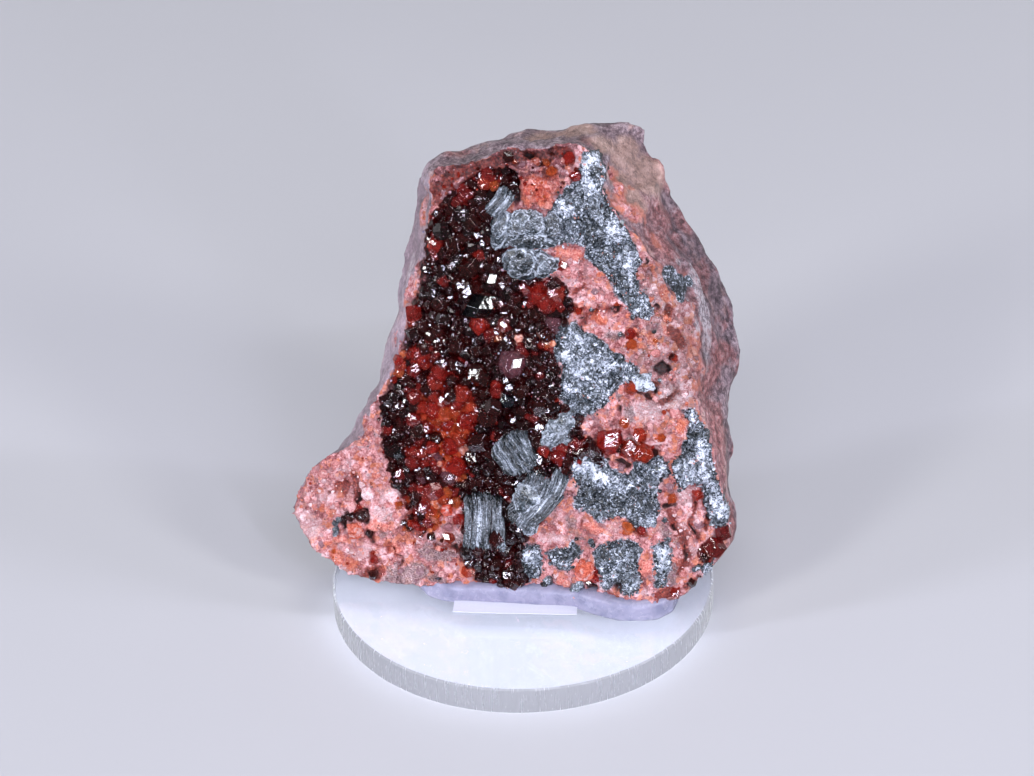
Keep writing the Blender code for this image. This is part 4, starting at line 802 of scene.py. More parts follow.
def stack(pile, rng, centre, frame3, half_length, half_width, height, leaves, bend=0.0, wave=0.0, sides=44, bright=0.45,
          taper=0.35, power=3.0, ragged=0.05, skip=0.04, spread=0.22, fan=0.0, glow=()):
    """A book seen edge on: leaves along the frame's third axis. bend curls them, wave ripples them, fan opens them like
    a hand of cards, and each glow (place along the leaves, place through the stack, reach along, reach through, change)
    paints a lighter or darker area into the leaves' tone, the lighter ones a painted satin sheen."""
    pitch = height / leaves
    phase = rng.uniform(0, 6.28)
    faces = leaf_faces(sides)
    angles = np.arange(sides) * 2 * math.pi / sides
    level = bright
    for k in range(leaves):
        t = (k + 0.5) / leaves * 2 - 1
        level += rng.gauss(0, 0.45 * spread) + 0.30 * (bright - level)
        if rng.random() < skip:
            continue
        size = 1 - taper * abs(t) ** power
        wide = size * rng.uniform(0.88, 1.05)
        long_ = size * rng.uniform(0.93, 1.04)
        x = np.sign(np.cos(angles)) * np.abs(np.cos(angles)) ** 0.48 * half_length * long_
        y = np.sign(np.sin(angles)) * np.abs(np.sin(angles)) ** 0.48 * half_width * wide
        jag = np.array([rng.gauss(0, 1) for _ in range(sides)])
        jag = ragged * (jag + 0.6 * np.roll(jag, 1))
        x, y = x * (1 + 0.6 * jag), y + jag * half_width * 1.4
        x, y = np.append(np.tile(x, 2), (0, 0)), np.append(np.tile(y, 2), (0, 0))
        thick = pitch * rng.uniform(0.85, 1.15)
        side = np.append(np.repeat((0.5, -0.5), sides), (0.5, -0.5))
        lift = bend * (x / half_length) ** 2 * half_length
        lift += wave * np.sin(x / half_length * 2.6 + phase + 0.7 * t) * half_length
        lift += 0.35 * wave * np.sin(x / half_length * 7.3 + 2 * phase + 2.0 * t) * half_length
        lift += 0.10 * pitch * np.array([noise.noise(Vector((a * 1.4, k * 0.5, phase))) for a in x]) * 4
        lift += fan * t * (x / half_length) * half_length
        z = side * thick + t * height / 2 + lift
        tone = level + np.array([0.26 * noise.noise(Vector((a * 0.8, k * 0.35, phase + 3))) + 0.22 * noise.noise(Vector((a * 2.4, k * 1.7, phase))) for a in x])
        # painted sheen: each glow lightens or darkens the tone over an area of the leaves
        for along, through, reach_along, reach_through, change in glow:
            tone += change * np.exp(-((x / half_length - along) / reach_along) ** 2 - ((t - through) / reach_through) ** 2)
        world = np.stack([x, y, z], 1) @ frame3.T + np.array(centre)
        local = np.stack([x, y, t * height / 2 + side * thick], 1) + np.array(centre) * 3.7
        pile.add(world, faces, silver(tone), 0, None, local)


def plate(pile, rng, centre, frame3, half_length, half_width, thick, dome, bright, rim=0.05, sides=60, rings=12, lobes=0.06, rough=0.06, seed=0.0, painted_edge_highlight=0.85):
    """A leaf seen face on: a domed, lobed plate with a thin raised rim, painted bright as a highlight along its edge,
    its face streaked like a fan.
    """
    angles = np.arange(sides) * 2 * math.pi / sides
    edge = 1 + lobes * np.sin(angles * 3 + seed) + 0.6 * lobes * np.sin(angles * 5 + 2.3 * seed) + np.array([0.35 * lobes * rng.gauss(0, 1) for _ in range(sides)])
    verts, tones, count = [], [], 0
    tops, lows = [], []
    for r in range(rings):
        s = 1 - (r / rings) ** 1.25
        x, y = np.cos(angles) * edge * s * half_length, np.sin(angles) * edge * s * half_width
        z = dome * (1 - s * s) + rim * np.exp(-((s - 0.93) / 0.06) ** 2) - (0.10 if r == 0 else 0.0)
        z = z + np.array([rough * (noise.noise(Vector((a * 1.3, b * 1.3, seed * 3))) + 0.7 * noise.noise(Vector((a * 3.6, b * 3.6, seed * 5)))) for a, b in zip(x, y)])
        verts.append(np.stack([x, y, z], 1))
        fan = np.array([noise.noise(Vector((6.0 * math.cos(t) + 1.5 * s, 6.0 * math.sin(t), seed + 1.2 * s))) for t in angles])
        cloud = np.array([noise.noise(Vector((a * 0.9, b * 0.9, seed * 7))) for a, b in zip(x, y)])
        tone = bright + 0.28 * fan + 0.38 * cloud
        # painted highlight: the outer two rings are made at least this bright, an edge catching the light
        if r < 2:
            tone = np.maximum(tone, painted_edge_highlight + 0.5 * fan)
        tones.append(tone)
        tops.append(np.arange(count, count + sides))
        count += sides
    verts.append(np.array([[0, 0, dome]]))
    tones.append([bright])
    top_centre = count
    count += 1
    for s in (1.0, 0.5):
        verts.append(np.stack([np.cos(angles) * edge * s * half_length * 0.97, np.sin(angles) * edge * s * half_width * 0.97, np.full(sides, -thick)], 1))
        tones.append(np.full(sides, 0.15))
        lows.append(np.arange(count, count + sides))
        count += sides
    verts.append(np.array([[0, 0, -thick]]))
    tones.append([0.1])
    low_centre = count
    nxt = (np.arange(sides) + 1) % sides
    faces = []
    for a, b in zip(tops, tops[1:]):
        faces += [np.stack([a, a[nxt], b], 1), np.stack([a[nxt], b[nxt], b], 1)]
    faces.append(np.stack([tops[-1], tops[-1][nxt], np.full(sides, top_centre)], 1))
    a, b = tops[0], lows[0]
    faces += [np.stack([a, b, a[nxt]], 1), np.stack([a[nxt], b, b[nxt]], 1)]
    a, b = lows
    faces += [np.stack([a, b, a[nxt]], 1), np.stack([a[nxt], b, b[nxt]], 1)]
    faces.append(np.stack([b, np.full(sides, low_centre), b[nxt]], 1))
    flat = np.concatenate(verts)
    world = flat @ frame3.T + np.array(centre)
    pile.add(world, np.concatenate(faces), silver(np.concatenate(tones)), 0, None, flat + np.array(centre) * 3.7)


def flake(pile, rng, centre, frame3, radius, thick, tone, sides=6):
    angles = np.arange(sides) * 2 * math.pi / sides
    edge = radius * np.array([rng.uniform(0.75, 1.1) for _ in range(sides)])
    x, y = np.cos(angles) * edge, np.sin(angles) * edge * rng.uniform(0.55, 0.9)
    x, y = np.append(np.tile(x, 2), (0, 0)), np.append(np.tile(y, 2), (0, 0))
    side = np.append(np.repeat((0.5, -0.5), sides), (0.8, -0.5))
    flat = np.stack([x, y, side * thick], 1)
    pile.add(flat @ frame3.T + np.array(centre), leaf_faces(sides), tone, 0, None, flat + np.array(centre) * 3.7)


# ---------------------------------------------------------------- materials


class Nodes:
    """Short names for building a node tree."""

    def __init__(self, name):
        self.mat = bpy.data.materials.new(name)
        self.mat.use_nodes = True
        self.tree = self.mat.node_tree
        self.bsdf = self.tree.nodes["Principled BSDF"]
        self.out = self.tree.nodes["Material Output"]

    def new(self, kind, **settings):
        node = self.tree.nodes.new(kind)
        for key, value in settings.items():
            setattr(node, key, value)
        return node

    def feed(self, socket, value):
        if isinstance(value, bpy.types.NodeSocket):
            self.tree.links.new(value, socket)
        elif value is not None:
            socket.default_value = value

    def object_mm(self):
        at = self.new("ShaderNodeTexCoord")
        scale = self.new("ShaderNodeVectorMath", operation="SCALE")
        self.feed(scale.inputs[0], at.outputs["Object"])
        scale.inputs["Scale"].default_value = 1000.0
        return scale.outputs[0]

    def attr(self, name, out="Fac"):
        node = self.new("ShaderNodeAttribute", attribute_name=name)
        return node.outputs[out]

    def noise(self, at, scale, detail=3.0, rough=0.55, distortion=0.0, out="Fac"):
        node = self.new("ShaderNodeTexNoise")
        self.feed(node.inputs["Vector"], at)
        node.inputs["Scale"].default_value = scale
        node.inputs["Detail"].default_value = detail
        node.inputs["Roughness"].default_value = rough
        node.inputs["Distortion"].default_value = distortion
        return node.outputs["Fac"] if out == "Fac" else node.outputs["Color"]

    def voronoi(self, at, scale, feature="F1", out="Distance", randomness=1.0):
        node = self.new("ShaderNodeTexVoronoi", feature=feature)
        self.feed(node.inputs["Vector"], at)
        node.inputs["Scale"].default_value = scale
        node.inputs["Randomness"].default_value = randomness
        return node.outputs[out]

    def math(self, op, a, b=None, c=None, clamp=False):
        node = self.new("ShaderNodeMath", operation=op, use_clamp=clamp)
        for socket, value in zip(node.inputs, (a, b, c)):
            self.feed(socket, value)
        return node.outputs[0]

    def total(self, *terms):
        """The weighted sum of (value, weight) pairs and plain numbers."""
        made = None
        for term in terms:
            one = self.math("MULTIPLY", *term) if isinstance(term, tuple) else term
            made = one if made is None else self.math("ADD", made, one)
        return made

    def vmath(self, op, a, b=None, scale=None):
        node = self.new("ShaderNodeVectorMath", operation=op)
        self.feed(node.inputs[0], a)
        if b is not None:
            self.feed(node.inputs[1], b)
        if scale is not None:
            self.feed(node.inputs["Scale"], scale)
        return node.outputs["Value"] if op in ("DOT_PRODUCT", "LENGTH", "DISTANCE") else node.outputs["Vector"]

    def warp(self, at, scale, reach, detail=2.0):
        """at, pushed about by up to reach mm."""
        away = self.vmath("SUBTRACT", self.noise(at, scale, detail, out="Color"), (0.5, 0.5, 0.5))
        return self.vmath("ADD", at, self.vmath("SCALE", away, scale=2.0 * reach))

    def span(self, value, low, high, to_low=0.0, to_high=1.0):
        node = self.new("ShaderNodeMapRange", interpolation_type="SMOOTHSTEP")
        for socket, item in zip(node.inputs, (value, low, high, to_low, to_high)):
            self.feed(socket, item)
        return node.outputs["Result"]

    def mix(self, factor, a, b, blend="MIX"):
        node = self.new("ShaderNodeMix", data_type="RGBA", blend_type=blend)
        self.feed(node.inputs["Factor"], factor)
        ab = [s for s in node.inputs if s.type == "RGBA"]
        for socket, value in zip(ab, (a, b)):
            self.feed(socket, (*value, 1.0) if isinstance(value, tuple) and len(value) == 3 else value)
        return [s for s in node.outputs if s.type == "RGBA"][0]

    def ramp(self, value, stops):
        node = self.new("ShaderNodeValToRGB")
        self.feed(node.inputs["Fac"], value)
        ramp = node.color_ramp
        while len(ramp.elements) < len(stops):
            ramp.elements.new(0.5)
        for element, (pos, colour) in zip(ramp.elements, stops):
            element.position = pos
            element.color = (*colour, 1.0)
        return node.outputs["Color"]

    def split(self, vector):
        node = self.new("ShaderNodeSeparateXYZ")
        self.feed(node.inputs[0], vector)
        return node.outputs

    def join(self, x, y, z):
        node = self.new("ShaderNodeCombineXYZ")
        for socket, value in zip(node.inputs, (x, y, z)):
            self.feed(socket, value)
        return node.outputs[0]

    def bump(self, height, strength, distance, normal=None):
        node = self.new("ShaderNodeBump")
        node.inputs["Strength"].default_value = strength
        node.inputs["Distance"].default_value = distance
        self.feed(node.inputs["Height"], height)
        if normal is not None:
            self.feed(node.inputs["Normal"], normal)
        return node.outputs["Normal"]

    def set(self, **values):
        names = {"colour": "Base Color", "rough": "Roughness", "ior": "IOR", "normal": "Normal",
                 "transmission": "Transmission Weight", "coat": "Coat Weight", "coat_rough": "Coat Roughness",
                 "specular": "Specular IOR Level", "sss": "Subsurface Weight", "sss_radius": "Subsurface Radius",
                 "sss_scale": "Subsurface Scale", "metallic": "Metallic", "alpha": "Alpha", "aniso": "Anisotropic"}
        for key, value in values.items():
            if isinstance(value, tuple) and len(value) == 3 and key == "colour":
                value = (*value, 1.0)
            self.feed(self.bsdf.inputs[names[key]], value)
        return self.mat


CHLORITE_RAMP = [(0.33, (0.004, 0.007, 0.009)), (0.44, (0.040, 0.052, 0.062)), (0.52, (0.150, 0.175, 0.205)),
                 (0.60, (0.44, 0.49, 0.58)), (0.70, (0.86, 0.90, 0.98))]


def chlorite_surface(n, at):
    """How light massed chlorite is: specks of leaves on edge, patches whose leaves lie one way, and broad clouds."""
    at2 = n.warp(at, 2.4, 0.16)
    fine = n.split(n.voronoi(at2, 3.0, out="Color"))
    tiny = n.noise(at, 5.2, 2.0, 0.6)
    mid = n.noise(at, 1.05, 4.0, 0.62)
    cell = n.voronoi(n.warp(at, 0.8, 0.8), 0.50, out="Color")
    aim = n.vmath("NORMALIZE", n.vmath("SUBTRACT", cell, (0.5, 0.5, 0.5)))
    other = n.vmath("NORMALIZE", n.vmath("CROSS_PRODUCT", aim, (0.31, 0.22, 0.92)))
    lines = n.join(n.math("MULTIPLY", n.vmath("DOT_PRODUCT", at2, aim), 4.6), n.math("MULTIPLY", n.vmath("DOT_PRODUCT", at2, other), 0.7),
                   n.math("MULTIPLY", n.split(cell)[0], 23.0))
    streak = n.noise(lines, 1.0, 2.0, 0.5)
    tone = n.total((fine[0], 0.26), (streak, 0.46), (tiny, 0.46), (mid, 0.60), -0.385)
    height = n.total((fine[1], 0.5), (streak, 0.7), (tiny, 0.6))
    return tone, height


def stone_material():
    n = Nodes("matrix_rock")
    at = n.object_mm()
    u, v, w = n.split(n.attr("fuvw", "Vector"))
    druse, felt, front, hollow_shade, clear, flush = (n.attr(name) for name in ("druse", "felt", "front", "hollow_shade", "clear", "flush"))
    red, orange, pale = n.split(n.attr("zone_a", "Vector"))
    grey, dark, peach = n.split(n.attr("zone_b", "Vector"))
    white, inclusion, ochre = n.split(n.attr("zone_c", "Vector"))
    jitter = n.math("SUBTRACT", n.noise(at, 1.25, 5.0, 0.65), 0.5)
    jitter2 = n.math("SUBTRACT", n.noise(n.vmath("ADD", at, (17.0, 5.0, 9.0)), 1.9, 5.0, 0.65), 0.5)

    def zone(field, reach, low=-0.2, high=0.35, shake=jitter):
        return n.span(n.total(field, (shake, reach)), low, high)

    # pink massive grossular: grains, clouds, specks, fine dark veins and painted glints
    grains = n.split(n.voronoi(n.warp(at, 1.8, 0.28), 1.15, out="Color"))
    small = n.split(n.voronoi(n.warp(at, 3.0, 0.12), 2.9, out="Color"))
    patch = n.noise(at, 0.42, 5.0, 0.62)
    speck = n.noise(at, 3.9, 4.0, 0.62)
    value = n.total((patch, 0.62), (grains[0], 0.20), (small[0], 0.14), (speck, 0.46), -0.22)
    pink = n.ramp(value, [
        (0.26, (0.16, 0.026, 0.028)), (0.38, (0.38, 0.110, 0.110)), (0.47, (0.60, 0.245, 0.240)),
        (0.56, (0.76, 0.400, 0.400)), (0.66, (0.86, 0.570, 0.590)), (0.80, (0.93, 0.80, 0.83))])
    warm_grain = n.span(n.total((grains[1], 1.0), (jitter, 0.5)), 0.72, 0.80)
    pink = n.mix(n.math("MULTIPLY", warm_grain, 0.60), pink, (0.72, 0.215, 0.085))
    cool_grain = n.span(n.total((grains[2], 1.0), (jitter, 0.5)), 0.76, 0.84)
    pink = n.mix(n.math("MULTIPLY", cool_grain, 0.50), pink, (0.30, 0.175, 0.180))
    rim = n.voronoi(n.warp(at, 1.1, 0.5), 0.62, feature="DISTANCE_TO_EDGE")
    vein = n.math("MULTIPLY", n.span(rim, 0.055, 0.010), n.span(n.noise(at, 0.35, 3.0), 0.47, 0.56))
    pink = n.mix(n.math("MULTIPLY", vein, 0.72), pink, (0.20, 0.022, 0.016))

    pink = n.mix(n.math("MULTIPLY", zone(pale, 1.9, -0.5, 0.9), 0.62), pink, n.mix(n.span(speck, 0.42, 0.62), (0.66, 0.37, 0.37), (0.90, 0.75, 0.76)))
    pink = n.mix(n.math("MULTIPLY", zone(grey, 1.5, -0.3, 0.5, jitter2), 0.74), pink, n.mix(n.span(speck, 0.40, 0.62), (0.115, 0.070, 0.075), (0.46, 0.365, 0.365)))
    pink = n.mix(n.math("MULTIPLY", zone(peach, 0.9, -0.1, 0.35), 0.78), pink, n.mix(n.span(speck, 0.38, 0.66), (0.56, 0.085, 0.050), (0.86, 0.38, 0.30)))
    pink = n.mix(n.math("MULTIPLY", zone(orange, 1.6, 0.0, 0.5, jitter2), 0.70), pink, n.mix(n.span(speck, 0.40, 0.64), (0.46, 0.050, 0.020), (0.80, 0.235, 0.095)))
    pink = n.mix(n.math("MULTIPLY", zone(red, 1.6, -0.2, 0.35), 0.90), pink, n.ramp(n.noise(at, 2.6, 4.0, 0.65), [
        (0.34, (0.045, 0.003, 0.003)), (0.50, (0.23, 0.018, 0.010)), (0.62, (0.44, 0.075, 0.040)), (0.74, (0.66, 0.27, 0.20))]))

    dots = n.span(n.voronoi(n.warp(at, 2.0, 0.2), 1.25), 0.24, 0.13)
    dots = n.math("MULTIPLY", dots, n.span(n.split(n.voronoi(n.warp(at, 2.0, 0.2), 1.25, out="Color"))[1], 0.66, 0.72))
    pink = n.mix(n.math("MULTIPLY", dots, 0.88), pink, (0.045, 0.024, 0.028))
    # painted glints: sparse small white spots stand in for tiny facets catching the light
    painted_glint = n.span(n.voronoi(n.warp(n.vmath("ADD", at, (11.0, 3.0, 7.0)), 2.0, 0.2), 1.5), 0.19, 0.10)
    painted_glint = n.math("MULTIPLY", painted_glint, n.span(n.split(n.voronoi(n.warp(n.vmath("ADD", at, (11.0, 3.0, 7.0)), 2.0, 0.2), 1.5, out="Color"))[2], 0.74, 0.80))
    pink = n.mix(n.math("MULTIPLY", painted_glint, 0.85), pink, (0.90, 0.86, 0.86))
    pink = n.mix(n.math("MULTIPLY", zone(dark, 0.55, -0.12, 0.30), 0.97), pink, n.ramp(n.noise(at, 2.2, 4.0, 0.6), [
        (0.40, (0.006, 0.003, 0.004)), (0.58, (0.055, 0.006, 0.006)), (0.74, (0.16, 0.035, 0.028))]))

    deep_top = n.math("MULTIPLY", n.span(n.total(v, (jitter, 9.0)), 62.5, 69.0), n.span(n.total(u, (jitter2, 6.0)), 9.0, 5.0))
    mottle = n.noise(n.vmath("ADD", at, (1.0, 6.0, 2.0)), 1.0, 5.0, 0.68, 0.3)
    pink = n.mix(n.math("MULTIPLY", deep_top, n.span(mottle, 0.56, 0.44, 0.35, 0.95)), pink, n.mix(1.0, pink, (0.24, 0.09, 0.11), "MULTIPLY"))

    shade = n.math("MULTIPLY", n.span(n.total(u, (jitter, 8.0)), 15.0, 20.0), n.span(n.total(v, (jitter2, 10.0)), 28.0, 34.0))
    pink = n.mix(n.math("MULTIPLY", shade, 0.85), pink, n.mix(1.0, pink, (0.66, 0.77, 0.77), "MULTIPLY"))
    block = n.span(n.total(n.vmath("LENGTH", n.vmath("MULTIPLY", n.vmath("SUBTRACT", n.attr("fuvw", "Vector"), (1.3, 67.4, 0.0)), (0.40, 0.52, 0.0))), (jitter, 0.9)), 1.15, 0.85)
    haze = n.span(n.noise(n.vmath("ADD", at, (5.0, 5.0, 1.0)), 0.9, 5.0, 0.7), 0.50, 0.62)
    pink = n.mix(n.math("MULTIPLY", block, 0.85), pink, n.mix(haze, n.mix(n.span(speck, 0.40, 0.62), (0.33, 0.022, 0.012), (0.62, 0.12, 0.060)), (0.74, 0.36, 0.32)))

    # host rock: mauve grey, streaked, with ochre, rusty and white places
    streak_at = n.vmath("MULTIPLY", at, (1.0, 0.60, 0.34))
    streak = n.noise(streak_at, 0.62, 7.0, 0.70, 0.5)
    fine_streak = n.noise(n.vmath("MULTIPLY", at, (1.6, 1.0, 0.30)), 2.6, 5.0, 0.65, 0.3)
    host = n.ramp(n.total((streak, 0.72), (fine_streak, 0.42), -0.07), [
        (0.31, (0.045, 0.032, 0.038)), (0.43, (0.150, 0.100, 0.115)), (0.52, (0.275, 0.195, 0.215)),
        (0.62, (0.430, 0.325, 0.345)), (0.77, (0.66, 0.56, 0.58))])
    rusty = n.ramp(n.total((n.noise(at, 0.7, 6.0, 0.68, 0.3), 0.7), (fine_streak, 0.4), -0.05), [
        (0.32, (0.105, 0.030, 0.032)), (0.46, (0.330, 0.110, 0.105)), (0.60, (0.58, 0.255, 0.240)), (0.75, (0.76, 0.48, 0.46))])
    tan = n.ramp(n.total((n.noise(n.vmath("MULTIPLY", at, (1.0, 0.7, 0.45)), 0.8, 6.0, 0.68, 0.4), 0.7), (fine_streak, 0.42), -0.06), [
        (0.32, (0.110, 0.080, 0.070)), (0.45, (0.330, 0.215, 0.170)), (0.57, (0.53, 0.355, 0.290)), (0.73, (0.68, 0.52, 0.46))])
    wide = n.math("SUBTRACT", n.noise(at, 0.30, 4.0, 0.6), 0.5)
    right = n.math("MULTIPLY", n.span(u, 14.0, 22.0), n.span(n.total((n.noise(n.vmath("ADD", at, (9.0, 1.0, 5.0)), 0.24, 4.0), 1.0), (n.span(w, 12.0, 1.0), 0.20)), 0.50, 0.66))
    host = n.mix(n.math("MULTIPLY", right, 0.70), host, rusty)
    host = n.mix(n.math("MULTIPLY", n.span(n.total(flush, (wide, 4.0)), -0.5, 1.2), 0.80), host, rusty)
    host = n.mix(n.math("MULTIPLY", n.span(n.total(ochre, (wide, 3.6)), -0.4, 1.2), 0.85), host, tan)
    blush = n.span(n.noise(n.vmath("MULTIPLY", n.vmath("ADD", at, (2.0, 9.0, 4.0)), (1.0, 0.8, 0.45)), 0.34, 4.0, 0.6), 0.56, 0.68)
    host = n.mix(n.math("MULTIPLY", blush, 0.55), host, (0.62, 0.40, 0.35))
    hair = n.span(n.noise(n.vmath("MULTIPLY", at, (2.4, 1.6, 0.32)), 1.5, 4.0, 0.6, 0.4), 0.42, 0.56)
    host = n.mix(n.math("MULTIPLY", n.span(n.total(white, (jitter, 1.1)), -0.35, 0.35), n.span(hair, 0.0, 1.0, 0.35, 0.92)), host, (0.76, 0.73, 0.72))
    pepper = n.math("MULTIPLY", n.span(n.noise(at, 2.6, 4.0, 0.7), 0.58, 0.66), n.span(n.noise(at, 0.5, 3.0), 0.46, 0.58))
    host = n.mix(n.math("MULTIPLY", pepper, 0.72), host, (0.050, 0.042, 0.044))

    grit = n.noise(n.vmath("MULTIPLY", at, (1.0, 1.0, 0.8)), 1.1, 8.0, 0.78, 0.0)
    bold = n.span(n.total(ochre, (wide, 3.6)), 0.8, -0.6, 0.35, 1.0)
    host = n.mix(n.math("MULTIPLY", n.span(grit, 0.52, 0.43), n.math("MULTIPLY", bold, 0.74)), host, n.mix(1.0, host, (0.20, 0.15, 0.19), "MULTIPLY"))
    host = n.mix(n.math("MULTIPLY", n.span(grit, 0.535, 0.60), n.math("MULTIPLY", bold, 0.42)), host, (0.62, 0.52, 0.53))
    # painted shade: the upper right flank is darkened, as if it were turned away from the light
    shaded_flank = n.math("MULTIPLY", n.span(n.total(v, (wide, 26.0)), 32.0, 46.0), n.span(n.total(u, (wide, 10.0)), 19.0, 24.0))
    host = n.mix(n.math("MULTIPLY", shaded_flank, 0.78), host, n.mix(1.0, host, (0.52, 0.48, 0.52), "MULTIPLY"))
    host = n.mix(n.math("MULTIPLY", n.span(n.total(u, (wide, 12.0)), -15.0, -18.0), 0.40), host, (0.52, 0.43, 0.49))
    mask = n.span(n.total(front, (n.math("SUBTRACT", n.noise(at, 0.55, 4.0), 0.5), 0.9)), 0.42, 0.58)
    colour = n.mix(mask, host, pink)
    ridge = n.math("MULTIPLY", n.span(n.math("ABSOLUTE", n.total(front, (n.math("SUBTRACT", n.noise(at, 0.55, 4.0), 0.5), 0.9), -0.46)), 0.30, 0.06), n.span(n.noise(at, 0.28, 3.0), 0.42, 0.56))
    colour = n.mix(n.math("MULTIPLY", ridge, 0.55), colour, (0.60, 0.185, 0.110))

    # rock beneath the druse, painted near-black red: the garnets' dark colour and painted shade in the gaps between the
    # crystals, brighter orange under the clear garnets as a painted glow of light through them; and chlorite beneath
    # the felts
    near = n.math("MULTIPLY", n.span(n.total(druse, (jitter, 2.4)), 0.9, -0.5), mask)
    bed = n.total((n.noise(at, 1.5, 4.0, 0.65), 0.75), (n.split(n.voronoi(at, 3.6, out="Color"))[0], 0.22), 0.01)
    under = n.ramp(bed, [(0.34, (0.008, 0.001, 0.0015)), (0.50, (0.040, 0.003, 0.003)), (0.60, (0.115, 0.014, 0.012)), (0.72, (0.30, 0.145, 0.165))])
    # painted glow: the bed under the clear garnets is made bright orange, as if lit by light passing through them
    glow = n.ramp(bed, [(0.34, (0.10, 0.008, 0.004)), (0.50, (0.42, 0.040, 0.012)), (0.62, (0.72, 0.165, 0.045)), (0.74, (0.86, 0.42, 0.28))])
    under = n.mix(n.span(n.total(clear, (jitter, 0.5)), 0.30, 0.60), under, glow)
    colour = n.mix(near, colour, under)
    tone, leaves = chlorite_surface(n, at)
    chlorite = n.ramp(tone, CHLORITE_RAMP)
    felted = n.math("MULTIPLY", n.span(n.total(felt, (jitter, 0.9)), 0.35, -0.10), mask)
    colour = n.mix(felted, colour, chlorite)
    included = n.span(n.total(inclusion, (jitter, 0.6)), -0.1, 0.15)
    colour = n.mix(included, colour, n.ramp(n.math("ADD", tone, -0.07), CHLORITE_RAMP))
    # painted shade: the colour is darkened in the hollows of the relief
    colour = n.mix(n.math("MULTIPLY", hollow_shade, 0.40), colour, n.mix(1.0, colour, (0.40, 0.28, 0.28), "MULTIPLY"))

    rough = n.math("ADD", n.span(n.noise(at, 1.8, 3.0), 0.3, 0.7, 0.40, 0.70), n.math("MULTIPLY", felted, -0.15))
    sugar = n.voronoi(n.warp(at, 3.0, 0.10), 2.6)
    height = n.total((sugar, 0.5), (n.noise(at, 6.0, 4.0, 0.65), 0.6), (n.math("MULTIPLY", leaves, felted), 0.3))
    return n.set(colour=colour, rough=rough, normal=n.bump(height, 0.8, 0.00022), specular=0.5)


def garnet_material(name, shade, density, rough=0.02, clear=0.94):
    n = Nodes(name)
    at = n.object_mm()
    tint = n.attr("tint", "Color")
    cloud = n.noise(at, 1.1, 3.0, 0.6)
    colour = n.mix(n.span(cloud, 0.42, 0.68, 0.0, 0.7), tint, n.mix(1.0, tint, (0.30, 0.18, 0.18), "MULTIPLY"))
    etched = n.span(n.noise(n.vmath("ADD", at, (5.0, 1.0, 2.0)), 1.3, 4.0, 0.65), 0.56, 0.66)
    roughness = n.span(n.noise(at, 1.7, 3.0), 0.45, 0.75, rough, rough + 0.06)
    roughness = n.math("ADD", roughness, n.math("MULTIPLY", etched, 0.14))
    steps = n.total((n.noise(at, 0.95, 2.0, 0.45), 1.0), (n.math("MULTIPLY", etched, n.noise(at, 5.0, 2.0)), 0.12))
    n.set(colour=colour, rough=roughness, ior=1.74, transmission=clear, normal=n.bump(steps, 0.12, 0.00060))
    volume = n.new("ShaderNodeVolumeAbsorption")
    volume.inputs["Color"].default_value = (*shade, 1.0)
    volume.inputs["Density"].default_value = density
    n.tree.links.new(volume.outputs[0], n.out.inputs["Volume"])
    return n.mat


def frost_material():
    n = Nodes("garnet_frost")
    at = n.object_mm()
    tint = n.attr("tint", "Color")
    grain = n.noise(at, 2.4, 4.0, 0.62)
    colour = n.mix(n.span(grain, 0.40, 0.62), n.mix(1.0, tint, (0.55, 0.35, 0.35), "MULTIPLY"), tint)
    haze = n.noise(n.vmath("ADD", at, (7.0, 2.0, 5.0)), 0.9, 5.0, 0.65)
    colour = n.mix(n.span(haze, 0.50, 0.64, 0.0, 0.55), colour, (0.74, 0.55, 0.53))
    return n.set(colour=colour, rough=n.span(grain, 0.3, 0.7, 0.07, 0.26), normal=n.bump(grain, 0.3, 0.00005), ior=1.74)


def grain_material():
    n = Nodes("rock_grain")
    at = n.object_mm()
    tint = n.attr("tint", "Color")
    speck = n.noise(at, 3.6, 4.0, 0.65)
    cloud = n.noise(at, 1.3, 3.0, 0.6)
    colour = n.mix(n.span(n.total((speck, 0.6), (cloud, 0.4)), 0.38, 0.60), n.mix(1.0, tint, (0.55, 0.34, 0.30), "MULTIPLY"), tint)
    colour = n.mix(n.span(n.noise(n.vmath("ADD", at, (3.0, 8.0, 1.0)), 2.4, 4.0, 0.65), 0.56, 0.68, 0.0, 0.6), colour, (0.86, 0.66, 0.61))
    height = n.total((n.noise(at, 5.0, 4.0, 0.65), 0.7), (n.voronoi(at, 3.2), 0.4))
    return n.set(colour=colour, rough=n.span(cloud, 0.3, 0.7, 0.26, 0.58), normal=n.bump(height, 0.7, 0.00014))


def felt_material():
    n = Nodes("chlorite_felted")
    at = n.object_mm()
    tone, height = chlorite_surface(n, at)
    # the pad's tone attribute, with painted shade between its lobes, shifts the ramp
    colour = n.ramp(n.math("ADD", tone, n.math("MULTIPLY", n.attr("tone"), 0.58)), CHLORITE_RAMP)
    pink = n.span(n.noise(n.vmath("ADD", at, (6.0, 2.0, 8.0)), 0.85, 3.0, 0.6), 0.655, 0.70)
    colour = n.mix(n.math("MULTIPLY", pink, 0.8), colour, (0.60, 0.22, 0.155))
    # painted sparkle: small white spots stand in for tiny leaves catching the light
    painted_sparkle = n.span(n.voronoi(n.vmath("ADD", at, (4.0, 4.0, 4.0)), 1.5), 0.16, 0.09)
    colour = n.mix(painted_sparkle, colour, (0.90, 0.93, 0.96))
    rough = n.span(n.noise(at, 2.6, 3.0), 0.35, 0.7, 0.22, 0.50)
    return n.set(colour=colour, rough=rough, normal=n.bump(height, 0.9, 0.00016), ior=1.58, coat=0.15, coat_rough=0.2)


